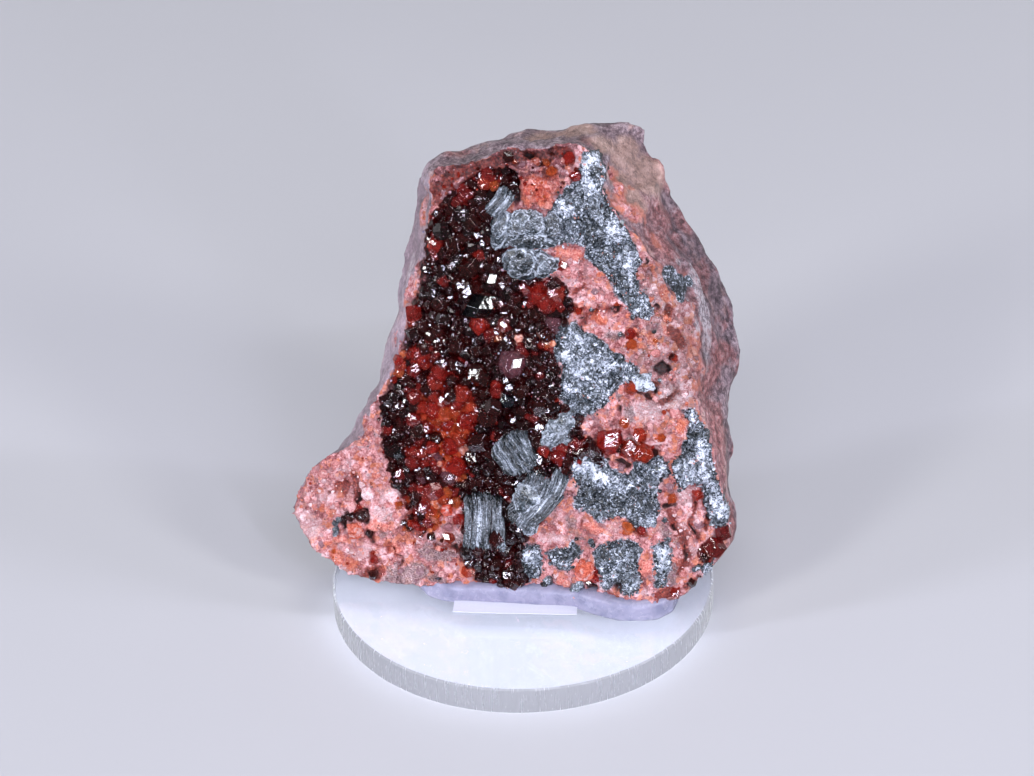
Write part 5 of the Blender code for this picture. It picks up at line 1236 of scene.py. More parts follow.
def chlorite_material():
    n = Nodes("chlorite_leaf")
    at = n.object_mm()
    tint = n.attr("tint", "Color")
    local = n.attr("local", "Vector")
    comb = n.noise(n.warp(n.vmath("MULTIPLY", local, (0.55, 0.9, 5.0)), 1.0, 0.5), 1.0, 4.0, 0.62)
    sheen = n.noise(n.vmath("MULTIPLY", local, (0.28, 0.28, 0.9)), 1.0, 3.0, 0.55)
    speck = n.split(n.voronoi(n.warp(at, 3.0, 0.1), 4.2, out="Color"))
    tiny = n.noise(at, 6.0, 3.0, 0.65)
    # The leaves' tone: combed streaks, specks and fine noise in their colour, with a broad sheen pattern painted in;
    # where it runs high, the colour is mixed toward silver-white, a painted highlight.
    value = n.total((comb, 0.66), (sheen, 0.50), (speck[0], 0.26), (tiny, 0.44), -0.490)
    colour = n.mix(n.span(value, 0.30, 0.48), n.mix(1.0, tint, (0.10, 0.12, 0.13), "MULTIPLY"), tint)
    colour = n.mix(n.span(value, 0.50, 0.66, 0.0, 0.72), colour, (0.64, 0.69, 0.78))
    rough = n.span(sheen, 0.35, 0.65, 0.20, 0.44)
    height = n.total((comb, 0.8), (tiny, 0.5))
    return n.set(colour=colour, rough=rough, normal=n.bump(height, 0.6, 0.00010), ior=1.6, coat=0.25, coat_rough=0.18)


def tack_material():
    n = Nodes("white_tack")
    at = n.object_mm()
    colour = n.mix(n.span(n.noise(at, 0.35, 3.0), 0.4, 0.7), (0.31, 0.30, 0.40), (0.22, 0.22, 0.31))
    dust = n.span(n.noise(at, 3.2, 3.0, 0.6), 0.68, 0.76)
    colour = n.mix(n.math("MULTIPLY", dust, 0.5), colour, (0.42, 0.36, 0.36))
    rough = n.span(n.noise(at, 0.8, 3.0), 0.35, 0.7, 0.16, 0.32)
    normal = n.bump(n.total((n.noise(at, 0.45, 3.0), 1.0), (n.noise(at, 3.0, 3.0), 0.10)), 0.4, 0.0006)
    return n.set(colour=colour, rough=rough, normal=normal, sss=0.25, sss_radius=(0.004, 0.0035, 0.003), sss_scale=1.0)


def label_material():
    n = Nodes("blank_paper")
    at = n.object_mm()
    fibre = n.noise(n.vmath("MULTIPLY", at, (1.0, 2.4, 1.0)), 2.6, 5.0, 0.7)
    colour = n.mix(n.span(fibre, 0.35, 0.7), (0.64, 0.64, 0.72), (0.70, 0.70, 0.78))
    return n.set(colour=colour, rough=n.span(fibre, 0.3, 0.7, 0.55, 0.72), normal=n.bump(fibre, 0.25, 0.00008))


def acrylic_material(name, rim):
    n = Nodes(name)
    at = n.object_mm()
    if rim:
        x, y, z = n.split(at)
        turn = n.math("ARCTAN2", y, x)
        spot = n.join(n.math("MULTIPLY", turn, 31.75), n.math("MULTIPLY", z, 0.05), 0.0)
        lines = n.noise(spot, 2.4, 4.0, 0.7)
        rough = n.span(lines, 0.35, 0.7, 0.06, 0.34)
        normal = n.bump(lines, 0.5, 0.00012)
    else:
        scratch = n.noise(n.vmath("MULTIPLY", at, (0.12, 1.6, 1.0)), 2.0, 3.0, 0.6)
        dust = n.span(n.noise(at, 3.6, 2.0, 0.5), 0.72, 0.78)
        rough = n.math("ADD", n.span(scratch, 0.60, 0.74, 0.015, 0.10), n.math("MULTIPLY", dust, 0.35))
        normal = n.bump(n.noise(at, 0.12, 2.0), 0.05, 0.0002)
    n.set(colour=(0.93, 0.945, 0.97), rough=rough, ior=1.49, transmission=0.62 if rim else 1.0, normal=normal)
    clear = n.new("ShaderNodeBsdfTransparent")
    clear.inputs["Color"].default_value = (0.86, 0.88, 0.90, 1.0)
    path = n.new("ShaderNodeLightPath")
    both = n.new("ShaderNodeMixShader")
    n.tree.links.new(path.outputs["Is Shadow Ray"], both.inputs[0])
    n.tree.links.new(n.bsdf.outputs[0], both.inputs[1])
    n.tree.links.new(clear.outputs[0], both.inputs[2])
    n.tree.links.new(both.outputs[0], n.out.inputs["Surface"])
    return n.mat


def floor_material():
    n = Nodes("pale_floor")
    at = n.object_mm()
    colour = n.mix(n.noise(at, 0.01, 2.0), (0.52, 0.52, 0.53), (0.55, 0.55, 0.56))
    return n.set(colour=colour, rough=0.7, normal=n.bump(n.noise(at, 0.6, 3.0), 0.05, 0.0003))


# ---------------------------------------------------------------- build: stone

STONE = build_stone()
STONE.name = "rock"
STONE.data.name = "rock"
TREE = BVHTree.FromPolygons([tuple(v.co) for v in STONE.data.vertices], [tuple(f.vertices) for f in STONE.data.polygons])


def on_face(u, v):
    """The stone's surface under (u, v): the place and its outward direction."""
    hit, normal, _, _ = TREE.ray_cast(Vector((u, v, -20.0)), Vector((0, 0, 1)))
    if hit is None:
        hit, normal, _, _ = TREE.find_nearest(Vector((u, v, 1.0)))
    normal = normal if normal.z < 0 else -normal
    return np.array(hit), np.array(normal)


def face_height(u, v):
    """The face's w at (u, v), or none beyond its edge."""
    hit, _, _, _ = TREE.ray_cast(Vector((u, v, -20.0)), Vector((0, 0, 1)))
    return None if hit is None else hit.z


to_world(STONE)
STONE.data.shade_smooth()
STONE.data.materials.append(stone_material())
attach(STONE, "root")
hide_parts("matrix_stone")
print("rock", len(STONE.data.vertices), sum(len(f.vertices) - 2 for f in STONE.data.polygons))

# ---------------------------------------------------------------- build: garnets

RNG = random.Random(20)
FINE = [crystal_template(RNG, RNG.choice((0.06, 0.09, 0.09, 0.12, 0.15)), k % 3 == 0) for k in range(27)]
ROUGH = [crystal_template(RNG, 0.0, False, 0.09) for _ in range(20)]
GARNET = [garnet_material("garnet_deep", (0.52, 0.020, 0.060), 3300.0), garnet_material("garnet_red", (0.90, 0.06, 0.04), 950.0, clear=0.72),
          garnet_material("garnet_amber", (0.97, 0.20, 0.06), 480.0, clear=0.64), frost_material()]
DEEP, CLEAR_RED, AMBER, FROST = range(4)
# one kind tints a dark crystal blue-grey: a painted reflection of the bluish lights
GARNET_TINTS = {"deep": ((0.26, 0.014, 0.012), DEEP), "dark": ((0.30, 0.018, 0.014), DEEP), "red": ((0.60, 0.030, 0.018), CLEAR_RED), "wine": ((0.30, 0.030, 0.028), CLEAR_RED), "blood": ((0.64, 0.060, 0.022), CLEAR_RED), "salmon": ((0.66, 0.150, 0.085), FROST),
                "amber": ((0.72, 0.130, 0.036), AMBER), "peach": ((0.86, 0.44, 0.33), FROST), "black": ((0.030, 0.030, 0.040), DEEP),
                "mauve": ((0.34, 0.12, 0.15), CLEAR_RED), "blue_sheen": ((0.10, 0.12, 0.18), DEEP)}
# tints of the fine specks in the druse: small rough garnet grains, their lilac, blue and white partly a painted
# reflection of the bluish lights
FROST_AND_SHEEN_TINTS = [(0.40, 0.31, 0.44), (0.52, 0.34, 0.42), (0.30, 0.32, 0.48), (0.80, 0.78, 0.90), (0.36, 0.16, 0.19)]


def garnet_kind(rng, clear):
    t = min(1.0, max(0.0, rng.gauss(clear, 0.13)))
    dark, red, amber = np.array([0.11, 0.007, 0.018]), np.array([0.60, 0.034, 0.022]), np.array([0.84, 0.12, 0.035])
    tint = dark + (red - dark) * min(1, 2 * t) if t < 0.5 else red + (amber - red) * (2 * t - 1)
    if t > 0.55 and rng.random() < 0.26:
        return np.array(rng.choice(((0.60, 0.17, 0.070), (0.56, 0.065, 0.026), (0.56, 0.22, 0.15), (0.46, 0.16, 0.17)))), FROST
    return tint, DEEP if t < 0.30 else CLEAR_RED if t < 0.66 else AMBER


def add_crystal(pile, rng, templates, place, r, tint, slot, stretch=None, turn=None):
    verts, faces, ways = templates[rng.randrange(len(templates))]
    stretch = np.array([rng.uniform(0.9, 1.1) for _ in range(3)]) if stretch is None else np.array(stretch)
    turn = random_turn(rng) if turn is None else turn
    aim = ways / stretch
    pile.add((verts * stretch * r) @ turn.T + place, faces, np.array(tint), slot, (aim / np.linalg.norm(aim, axis=1)[:, None]) @ turn.T)


def garnet_on(pile, rng, u, v, r, stand, tint, slot=0, templates=None):
    place, outward = on_face(u, v)
    add_crystal(pile, rng, templates or FINE, place + outward * stand, r, tint, slot)


# where the chlorite books stand, so that nothing grows through them: (u, v, reach)
BOOK_PLACES = [
    (-4.6, 65.1, 1.7), (-4.8, 61.6, 1.6), (-4.5, 59.2, 1.6), (-1.8, 61.7, 2.1), (0.8, 61.7, 2.1), (3.6, 61.7, 1.6), (-2.6, 58.7, 1.4), (0.0, 58.7, 1.4), (2.0, 58.7, 1.2),
    (-2.6, 55.3, 1.9), (-0.2, 55.1, 2.0), (2.3, 54.8, 1.9), (5.2, 27.0, 2.4), (6.4, 29.2, 1.6), (-3.3, 24.2, 2.4), (-0.4, 23.2, 2.6), (-1.8, 23.7, 2.8),
    (-7.0, 14.8, 3.0), (-7.0, 11.8, 3.2), (-7.0, 9.0, 3.0), (0.6, 14.4, 3.2), (2.4, 17.4, 3.4), (4.6, 18.0, 2.4), (0.4, 11.8, 1.8), (18.9, 36.6, 1.9)]
BIG, SMALL = Pile(), Pile()
FACE_EDGE = [item[:2] for item in FRONT_EDGE]
taken = [(u, v, r * 0.85) for u, v, r in BOOK_PLACES]
# the druse's chief crystals: (u, v, size, how far out, kind)
HEROES = [
    (-8.1, 44.4, 1.35, 0.5, "red"), (-2.5, 38.4, 2.35, 0.6, "mauve"), (-8.2, 36.2, 1.95, 0.5, "deep"), (-5.2, 34.7, 0.75, 0.6, "red"),
    (-7.0, 33.2, 1.25, 0.4, "deep"), (-3.3, 32.6, 1.2, 0.4, "blue_sheen"), (-5.3, 42.6, 0.7, 0.5, "amber"), (-1.6, 42.6, 0.65, 0.4, "peach"),
    (-3.8, 41.4, 0.55, 0.4, "peach"), (1.8, 49.8, 1.5, 0.4, "red"), (-12.5, 23.8, 1.45, 0.5, "red"), (-12.0, 21.0, 1.5, 0.6, "red"),
    (-15.6, 29.6, 1.3, 0.5, "red"), (-13.3, 27.6, 1.2, 0.5, "red"), (-10.0, 28.5, 1.4, 0.5, "red"), (-21.2, 30.6, 1.0, 0.4, "deep"),
    (-21.6, 38.2, 0.8, 0.3, "red"), (-21.5, 36.0, 0.8, 0.3, "amber"), (-7.6, 24.8, 1.7, 0.6, "deep"), (-9.3, 22.6, 1.3, 0.5, "deep"),
    (-21.0, 22.4, 1.2, 0.3, "black"), (3.4, 42.2, 0.9, 0.3, "amber"), (4.3, 45.2, 1.4, 0.3, "mauve"), (3.2, 24.2, 1.0, 0.4, "red"),
    (-14.6, 47.6, 1.5, 0.5, "deep"), (-11.9, 40.6, 1.5, 0.5, "deep"), (-17.6, 38.4, 1.1, 0.4, "red"), (-9.0, 61.6, 1.6, 0.5, "deep"),
    (-12.6, 57.8, 1.7, 0.5, "deep"), (-9.6, 54.0, 1.6, 0.5, "deep"), (-5.6, 52.2, 1.2, 0.4, "deep"), (-11.4, 51.2, 1.3, 0.5, "deep"),
    (-16.6, 33.4, 1.3, 0.4, "deep"), (-18.0, 26.4, 1.4, 0.5, "deep"), (-12.4, 32.4, 1.4, 0.4, "deep"), (-0.8, 34.4, 1.4, 0.4, "deep"),
    (-6.4, 29.4, 1.5, 0.5, "deep"), (-2.6, 29.0, 1.3, 0.4, "deep"), (1.6, 31.8, 1.5, 0.4, "deep"), (1.4, 46.6, 1.2, 0.4, "deep"),
    (-1.6, 47.2, 1.2, 0.4, "deep"), (-16.2, 42.4, 1.2, 0.4, "deep"), (-8.6, 40.0, 1.1, 0.5, "deep"), (-4.2, 20.4, 1.2, 0.4, "deep"),
    (-6.0, 18.4, 1.1, 0.4, "deep"), (-15.2, 25.4, 1.1, 0.4, "deep"), (-18.6, 22.9, 0.9, 0.4, "red"), (-14.6, 22.0, 0.8, 0.3, "mauve"),
    (-13.0, 19.0, 1.3, 0.2, "mauve"), (-10.6, 19.0, 0.8, 0.4, "amber"), (-4.4, 4.8, 1.3, 0.4, "deep"), (-2.4, 3.2, 1.1, 0.4, "deep"),
    (-6.6, 5.0, 1.0, 0.4, "deep"), (-8.0, 66.4, 1.1, 0.3, "deep"), (-6.0, 67.8, 0.9, 0.3, "amber"), (-14.4, 62.0, 0.9, 0.3, "deep"),
]
for u, v, r, stand, kind in HEROES:
    taken.append((u, v, r))
    garnet_on(BIG, RNG, u, v, r, stand, *GARNET_TINTS[kind])
place, outward = on_face(-7.8, 47.8)
taken.append((-7.8, 47.8, 1.9))
spun = math.radians(28)
add_crystal(BIG, RNG, FINE, place + outward * 0.7, 1.75, *GARNET_TINTS["black"], stretch=(1.40, 0.95, 0.95),
            turn=np.array([[math.cos(spun), -math.sin(spun), 0], [math.sin(spun), math.cos(spun), 0], [0, 0, 1]]))
placed = scatter(RNG, DRUSE, 3600, [(1.00, 1.40, 0.20), (0.72, 1.00, 0.8), (0.48, 0.72, 1.7), (0.26, 0.46, 3.4)], taken, 0.57, 0.9)
spots = np.array(placed)
clears = soft_sum(spots, CLEAR)
rims = poly_sdf(spots[:, :2], FACE_EDGE)
for (u, v, r), clear, rim in zip(placed, clears, rims):
    if rim > -0.35 - 0.55 * r:
        continue
    tint, slot = garnet_kind(RNG, 0.10 + clear)
    lift = 0.30 * noise.noise(Vector((u / 3.0, v / 3.0, 4.0)))
    stand = r * RNG.uniform(0.0, 0.45) + lift
    if r >= 0.56:
        garnet_on(BIG, RNG, u, v, r, stand, tint, slot)
    else:
        garnet_on(SMALL, RNG, u, v, r, stand, tint, slot, ROUGH)
specks = scatter(RNG, DRUSE, 5200, [(0.10, 0.22, 1.0)], [(u, v, r * 0.8) for u, v, r in BOOK_PLACES], 0.9, 0.8)
verts, faces, shift = [], [], 0
for pile in (BIG, SMALL):
    for some, tris in zip(pile.verts, pile.faces):
        verts.append(some)
    faces.append(np.concatenate(pile.faces) + shift)
    shift += pile.count
CRUST = BVHTree.FromPolygons(np.concatenate(verts).tolist(), np.concatenate(faces).tolist())
for k, (u, v, r) in enumerate(specks):
    thick = noise.noise(Vector((u / 2.6, v / 2.6, 9.0)))
    if thick < 0.02 or k % 5 < 2 or (v > 46 and k % 2):
        continue
    tint = FROST_AND_SHEEN_TINTS[RNG.randrange(5)] if RNG.random() < 0.93 else garnet_kind(RNG, 0.5)[0]
    hit, normal, _, _ = CRUST.ray_cast(Vector((u, v, -20.0)), Vector((0, 0, 1)))
    # specks set on the crystals themselves stand partly as painted reflections on their faces
    if hit is not None and k % 3:
        r *= RNG.uniform(0.30, 0.65)
        add_crystal(SMALL, RNG, ROUGH, np.array(hit) + np.array(normal) * r * 0.3, r, tint, FROST)
    else:
        garnet_on(SMALL, RNG, u, v, r, RNG.uniform(0.0, 0.75), tint, FROST, ROUGH)
for pile, name, shade in ((BIG, "garnet_crystals", "ways"), (SMALL, "garnet_crystals_small", "flat")):
    made = pile.build(name, GARNET, shade)
    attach(made, "root")
    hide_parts("garnet_druse")
    print(name, len(made.data.polygons))
print("druse", len(placed), "specks", len(specks))

for name, crystals in LONE_GARNETS.items():
    pile = Pile()
    for u, v, r, kind in crystals:
        garnet_on(pile, RNG, u, v, r, r * 0.10, *GARNET_TINTS[kind])
        if r > 1.4:
            for _ in range(5):
                a, d = RNG.uniform(0, 6.28), r * RNG.uniform(0.75, 1.25)
                rr = RNG.uniform(0.35, 0.8)
                garnet_on(pile, RNG, u + d * math.cos(a), v + d * math.sin(a), rr, rr * 0.15, *GARNET_TINTS[RNG.choice((kind, "red", "dark"))])
    group = pile.build(name + "_crystals", GARNET, "ways")
    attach(group, "root")
    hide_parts(name)

# ---------------------------------------------------------------- build: grains standing in the pink rock

ROCK_GRAIN = grain_material()
GRAIN_MATERIALS = [ROCK_GRAIN, GARNET[DEEP], GARNET[CLEAR_RED], GARNET[AMBER]]


def open_rock(points):
    """True where the pink rock is bare."""
    clear = (poly_sdf(points, DRUSE) > 0.25) & (poly_sdf(points, FACE_EDGE) < -1.3)
    for one in FELTS.values():
        clear &= poly_sdf(points, one) > 0.15
    for u, v, r in BOOK_PLACES:
        clear &= np.hypot(points[:, 0] - u, points[:, 1] - v) > r
    return clear


GRAINS = Pile()
grains = scatter(RNG, FRONT_EDGE, 9000, [(0.70, 1.1, 0.008), (0.42, 0.70, 0.035), (0.24, 0.42, 0.18), (0.13, 0.24, 0.32)], [], 0.80, 0.0, open_rock)
spots = np.array(grains)
kinds = {kind: spot_field(spots, places) for kind, places in SPOTS.items()}
SALMON, LIGHT, PALE, ORANGE, MAUVE, PEACH = (0.60, 0.240, 0.230), (0.76, 0.41, 0.41), (0.86, 0.68, 0.70), (0.68, 0.21, 0.130), (0.30, 0.165, 0.195), (0.74, 0.30, 0.24)
for k, (u, v, r) in enumerate(grains):
    if kinds["dark"][k] > -0.1:
        continue
    roll = RNG.random()
    if kinds["red"][k] > 0 and roll < 0.75:
        tint, slot = (0.7, 0.05, 0.02), 2 if roll < 0.5 else 1
    elif kinds["orange"][k] > 0 and roll < 0.8:
        tint, slot = (ORANGE, 0) if roll < 0.62 else ((0.95, 0.22, 0.06), 3)
    elif kinds["pale"][k] > 0 and roll < 0.8:
        tint, slot = PALE if roll < 0.5 else LIGHT, 0
    elif kinds["grey"][k] > 0 and roll < 0.8:
        tint, slot = MAUVE if roll < 0.5 else (0.42, 0.33, 0.34), 0
    elif kinds["peach"][k] > 0:
        tint, slot = PEACH, 0
    else:
        tint, slot = ((SALMON, 0) if roll < 0.42 else (LIGHT, 0) if roll < 0.64 else (PALE, 0) if roll < 0.74 else (ORANGE, 0) if roll < 0.77
                      else (MAUVE, 0) if roll < 0.90 else (PEACH, 0) if roll < 0.955 else ((0.75, 0.10, 0.04), 2))
    if v > 66.5 and u < 6 and slot == 0:
        tint, slot = ((0.30, 0.018, 0.014), 1) if roll < 0.30 else ((0.50, 0.030, 0.018), 2) if roll < 0.46 else (np.array(tint) * (0.55, 0.40, 0.42), 0)
    tint = np.array(tint) * (RNG.uniform(0.85, 1.12) if slot == 0 else 1.0)
    garnet_on(GRAINS, RNG, u, v, r, r * (RNG.uniform(-0.86, -0.48) if slot == 0 else RNG.uniform(-0.45, 0.05)), np.minimum(tint, 0.95), slot, ROUGH)
# the broken passage between the druse and the pink rock on its left
PASSAGE = [(-22.6, 24.0), (-17.0, 26.0), (-11.5, 20.0), (-10.4, 12.0), (-10.8, 6.8), (-16.0, 7.6), (-20.4, 11.0)]
for u, v, r in scatter(RNG, PASSAGE, 900, [(0.72, 1.05, 0.08), (0.45, 0.72, 0.22), (0.25, 0.45, 0.5)], [], 0.85, 0.6, lambda points: (poly_sdf(points, DRUSE) > -0.3) & (poly_sdf(points, FACE_EDGE) < -1.3)):
    if noise.noise(Vector((u / 2.4, v / 2.4, 2.0))) < -0.08:
        continue
    tint, slot = RNG.choice([((0.20, 0.014, 0.012), 1), ((0.34, 0.020, 0.014), 1), ((0.56, 0.030, 0.018), 2), ((0.62, 0.070, 0.025), 2),
                             ((0.74, 0.13, 0.036), 3), ((0.46, 0.20, 0.21), 0), ((0.66, 0.20, 0.09), 0), ((0.30, 0.12, 0.14), 0)])
    garnet_on(GRAINS, RNG, u, v, r, r * RNG.uniform(-0.35, 0.15), tint, slot, ROUGH)
# single crystals and grains seen on the face: (u, v, size, kind)
for u, v, r, kind in [
        (16.1, 29.7, 0.8, "amber"), (5.3, 55.0, 0.8, "red"), (6.0, 72.6, 0.9, "red"), (-3.6, 72.6, 0.85, "dark"), (7.2, 69.8, 0.8, "red"), (2.4, 71.7, 0.55, "amber"),
        (3.5, 70.3, 0.8, "amber"), (-17.6, 16.9, 0.8, "red"), (-18.2, 10.8, 0.9, "red"), (-18.9, 12.0, 0.6, "dark"), (-16.9, 9.9, 0.6, "red"), (-18.0, 14.4, 0.7, "dark"),
        (-17.2, 18.6, 0.9, "mauve"), (-21.5, 17.6, 0.8, "dark"), (-18.8, 23.1, 0.7, "red"), (-14.7, 12.5, 1.3, "amber"), (-13.2, 16.5, 0.9, "amber"), (-11.4, 14.8, 0.9, "amber"),
        (-25.1, 2.2, 0.8, "dark"), (-25.0, 4.6, 0.7, "red"), (2.3, 12.3, 0.5, "red"), (24.0, 17.0, 0.7, "amber"), (22.2, 27.7, 0.6, "amber"), (19.3, 11.6, 0.6, "red"),
        (17.0, 42.6, 0.8, "amber"), (16.8, 44.5, 0.8, "red"), (23.4, 40.9, 0.6, "dark"), (-16.4, 11.2, 0.6, "amber"), (-10.2, 6.2, 0.5, "dark"), (27.6, 3.2, 0.7, "dark"),
        (25.0, 1.6, 0.8, "red"), (12.6, 0.6, 0.5, "red"), (15.6, 0.4, 0.5, "amber"), (-7.5, 1.9, 0.5, "amber"), (-20.0, 9.8, 0.5, "amber"), (-9.2, 68.6, 0.6, "red")]:
    tint, slot = GARNET_TINTS[kind]
    garnet_on(GRAINS, RNG, u, v, r, r * 0.12, tint, {DEEP: 1, CLEAR_RED: 2, AMBER: 3, FROST: 0}[slot], ROUGH)
SUGAR = GRAINS.build("pink_grains", GRAIN_MATERIALS, "flat")
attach(SUGAR, "root")
print("grains", len(grains), len(SUGAR.data.polygons))

# ---------------------------------------------------------------- build: chlorite

FELT, LEAF = felt_material(), chlorite_material()


WIDE_TONES = [(u, v, r * 1.3, change) for u, v, r, change in TONES]


def felt_patch(name, outline, step=0.23, rise=0.60):
    """A low, lobed, closed pad of chlorite lying on the face."""
    poly = np.array(outline)
    low, high = poly.min(0) - 1.0, poly.max(0) + 1.0
    us, vs = np.arange(low[0], high[0], step), np.arange(low[1], high[1], step)
    grid = np.array([[u, v, 0.0] for v in vs for u in us])
    warp = np.stack([n3(grid, 1.7, (1.1, 4.2, 7.0)), n3(grid, 1.7, (9.1, 3.2, 2.0))], 1) * 0.7
    warp += np.stack([n3(grid, 0.6, (3.1, 1.2, 5.0)), n3(grid, 0.6, (6.1, 8.2, 4.0))], 1) * 0.35
    sd = poly_sdf(grid[:, :2] + warp, poly)
    inside = sd < 0.12
    rows, cols = len(vs), len(us)
    base = np.full(len(grid), np.nan)
    for k in np.flatnonzero(inside):
        w = face_height(grid[k, 0], grid[k, 1])
        if w is not None:
            base[k] = w
    good = (inside & ~np.isnan(base) & (base < 6.0)).reshape(rows, cols)
    cells = good[:-1, :-1] & good[1:, :-1] & good[:-1, 1:] & good[1:, 1:]
    index = np.arange(rows * cols).reshape(rows, cols)
    quads = np.stack([index[:-1, :-1][cells], index[:-1, 1:][cells], index[1:, 1:][cells], index[1:, :-1][cells]], 1)
    used = np.unique(quads)
    lobes = np.array([noise.voronoi(Vector(grid[k]) / 1.5 + Vector((5.0, 2.0, 1.0)))[0][0] for k in used])
    tone = soft_sum(grid[used], WIDE_TONES)
    height = rise * (1 - np.exp(sd[used] / 0.55)).clip(-0.6, 1)
    height += smooth(-sd[used], 0.0, 0.8) * (0.60 * (0.55 - lobes) + 0.45 * n3(grid[used], 3.0, (2.0, 2.0, 6.0)) + 0.60 * tone
                                             + 0.20 * facet_field(grid[used], 0.62, (4.0, 9.0, 3.0), wobble=0.35, step=0.6) + 0.10 * n3(grid[used], 0.35, (8.0, 1.0, 2.0)))
    height = np.where(sd[used] > -0.05, -0.12, height)
    top = np.column_stack([grid[used, :2], base[used] - height])
    bottom = np.column_stack([grid[used, :2], base[used] + 0.55])
    remap = np.full(rows * cols, -1)
    remap[used] = np.arange(len(used))
    upper = remap[quads]
    lower = upper + len(used)
    faces = [tuple(f[::-1]) for f in upper] + [tuple(f) for f in lower]
    edges = {}
    for f in upper:
        for a, b in zip(f, np.roll(f, -1)):
            edges[(a, b)] = edges.get((a, b), 0) + 1
    for a, b in edges:
        if (b, a) not in edges:
            faces.append((a, b, b + len(used), a + len(used)))
    mesh = bpy.data.meshes.new(name)
    mesh.from_pydata([tuple(p) for p in np.concatenate([top, bottom])], [], [tuple(int(i) for i in f) for f in faces])
    mesh.update()
    # the pad's tone: its light and dark areas, darker between the lobes as painted shade in the gaps, and darker toward
    # its edge
    float_attribute(mesh, "tone", np.tile(tone + 0.35 * (0.42 - lobes) - 0.4 * smooth(sd[used], -0.5, 0.0), 2))
    obj = link(bpy.data.objects.new(name, mesh))
    to_world(obj)
    mesh.shade_smooth()
    mesh.materials.append(FELT)
    return obj


def inside_face(points):
    return poly_sdf(points, FACE_EDGE) < -0.55


FLAKES = Pile()
for name, outline in FELTS.items():
    patch = felt_patch(name + "_mat", outline)
    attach(patch, "root")
    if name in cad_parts:
        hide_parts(name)
    extent = np.ptp(np.array(outline), axis=0)
    for u, v, r in scatter(RNG, outline, int(30 * extent[0] * extent[1]), [(0.34, 0.55, 0.10), (0.15, 0.34, 1.0)], [], 0.62, 0.0, inside_face):
        place, outward = on_face(u, v)
        comb = noise.noise_vector(Vector((u / 2.6, v / 2.6, 3.0)))
        lie = np.array([comb.x + RNG.gauss(0, 0.14), comb.y + RNG.gauss(0, 0.14), -0.45 + RNG.gauss(0, 0.16)])
        level = soft_sum(np.array([[u, v]]), WIDE_TONES)[0]
        flake(FLAKES, RNG, place + outward * (RNG.uniform(0.30, 0.62) + 0.5 * level), basis(lie, [RNG.gauss(0, 1), RNG.gauss(0, 1), 0.01]), r, 0.06,
              chlorite_tone(RNG, 0.56 + 1.0 * level + 0.4 * comb.z, 0.26))
    print(name, len(patch.data.polygons))
# dark rounded grains along the edges of the felts
CHLORITE_GRAINS = 0
for name, outline in FELTS.items():
    edge_spots = scatter(RNG, outline, 900, [(0.20, 0.34, 0.12), (0.10, 0.20, 1.0)], [], 1.0, 0.6, inside_face)
    pts = np.array(edge_spots)
    near = np.abs(poly_sdf(pts, outline)) < 0.75
    inner = soft_sum(pts, TONES)
    for (u, v, r), close, tone in zip(edge_spots, near, inner):
        if (not close and RNG.random() > 0.12 - tone) or (close and RNG.random() > 0.34):
            continue
        place, outward = on_face(u, v)
        add_crystal(FLAKES, RNG, ROUGH, place + outward * (0.05 if close else 0.5), r, chlorite_tone(RNG, 0.10 if close else 0.20, 0.15), 0)
        CHLORITE_GRAINS += 1
for u, v, r in [(-31.6, 10.2, 0.55), (-31.5, 9.3, 0.5), (-31.6, 8.5, 0.45), (-31.2, 10.9, 0.4), (4.0, 2.4, 0.8), (3.4, 1.8, 0.6), (8.8, 1.8, 0.8), (8.2, 1.1, 0.6),
                (9.3, 2.5, 0.6), (11.0, 9.6, 0.5), (11.4, 9.0, 0.4), (28.6, 5.7, 0.45), (27.9, 5.4, 0.35), (13.4, 0.2, 0.4), (21.7, 36.9, 0.3), (22.9, 13.6, 0.4),
                (20.6, 44.6, 0.35), (17.0, 47.0, 0.4), (15.0, 44.3, 0.4), (30.6, 14.2, 0.4), (24.0, 8.6, 0.4), (19.4, 8.6, 0.4), (10.2, 48.1, 0.35), (23.6, 10.2, 0.4)]:
    place, outward = on_face(u, v)
    add_crystal(FLAKES, RNG, ROUGH, place + outward * 0.1, r, chlorite_tone(RNG, 0.25, 0.2), 0)
SCALES = FLAKES.build("chlorite_flakes", [LEAF], "flat")
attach(SCALES, "root")
print("flakes", len(SCALES.data.polygons), CHLORITE_GRAINS)

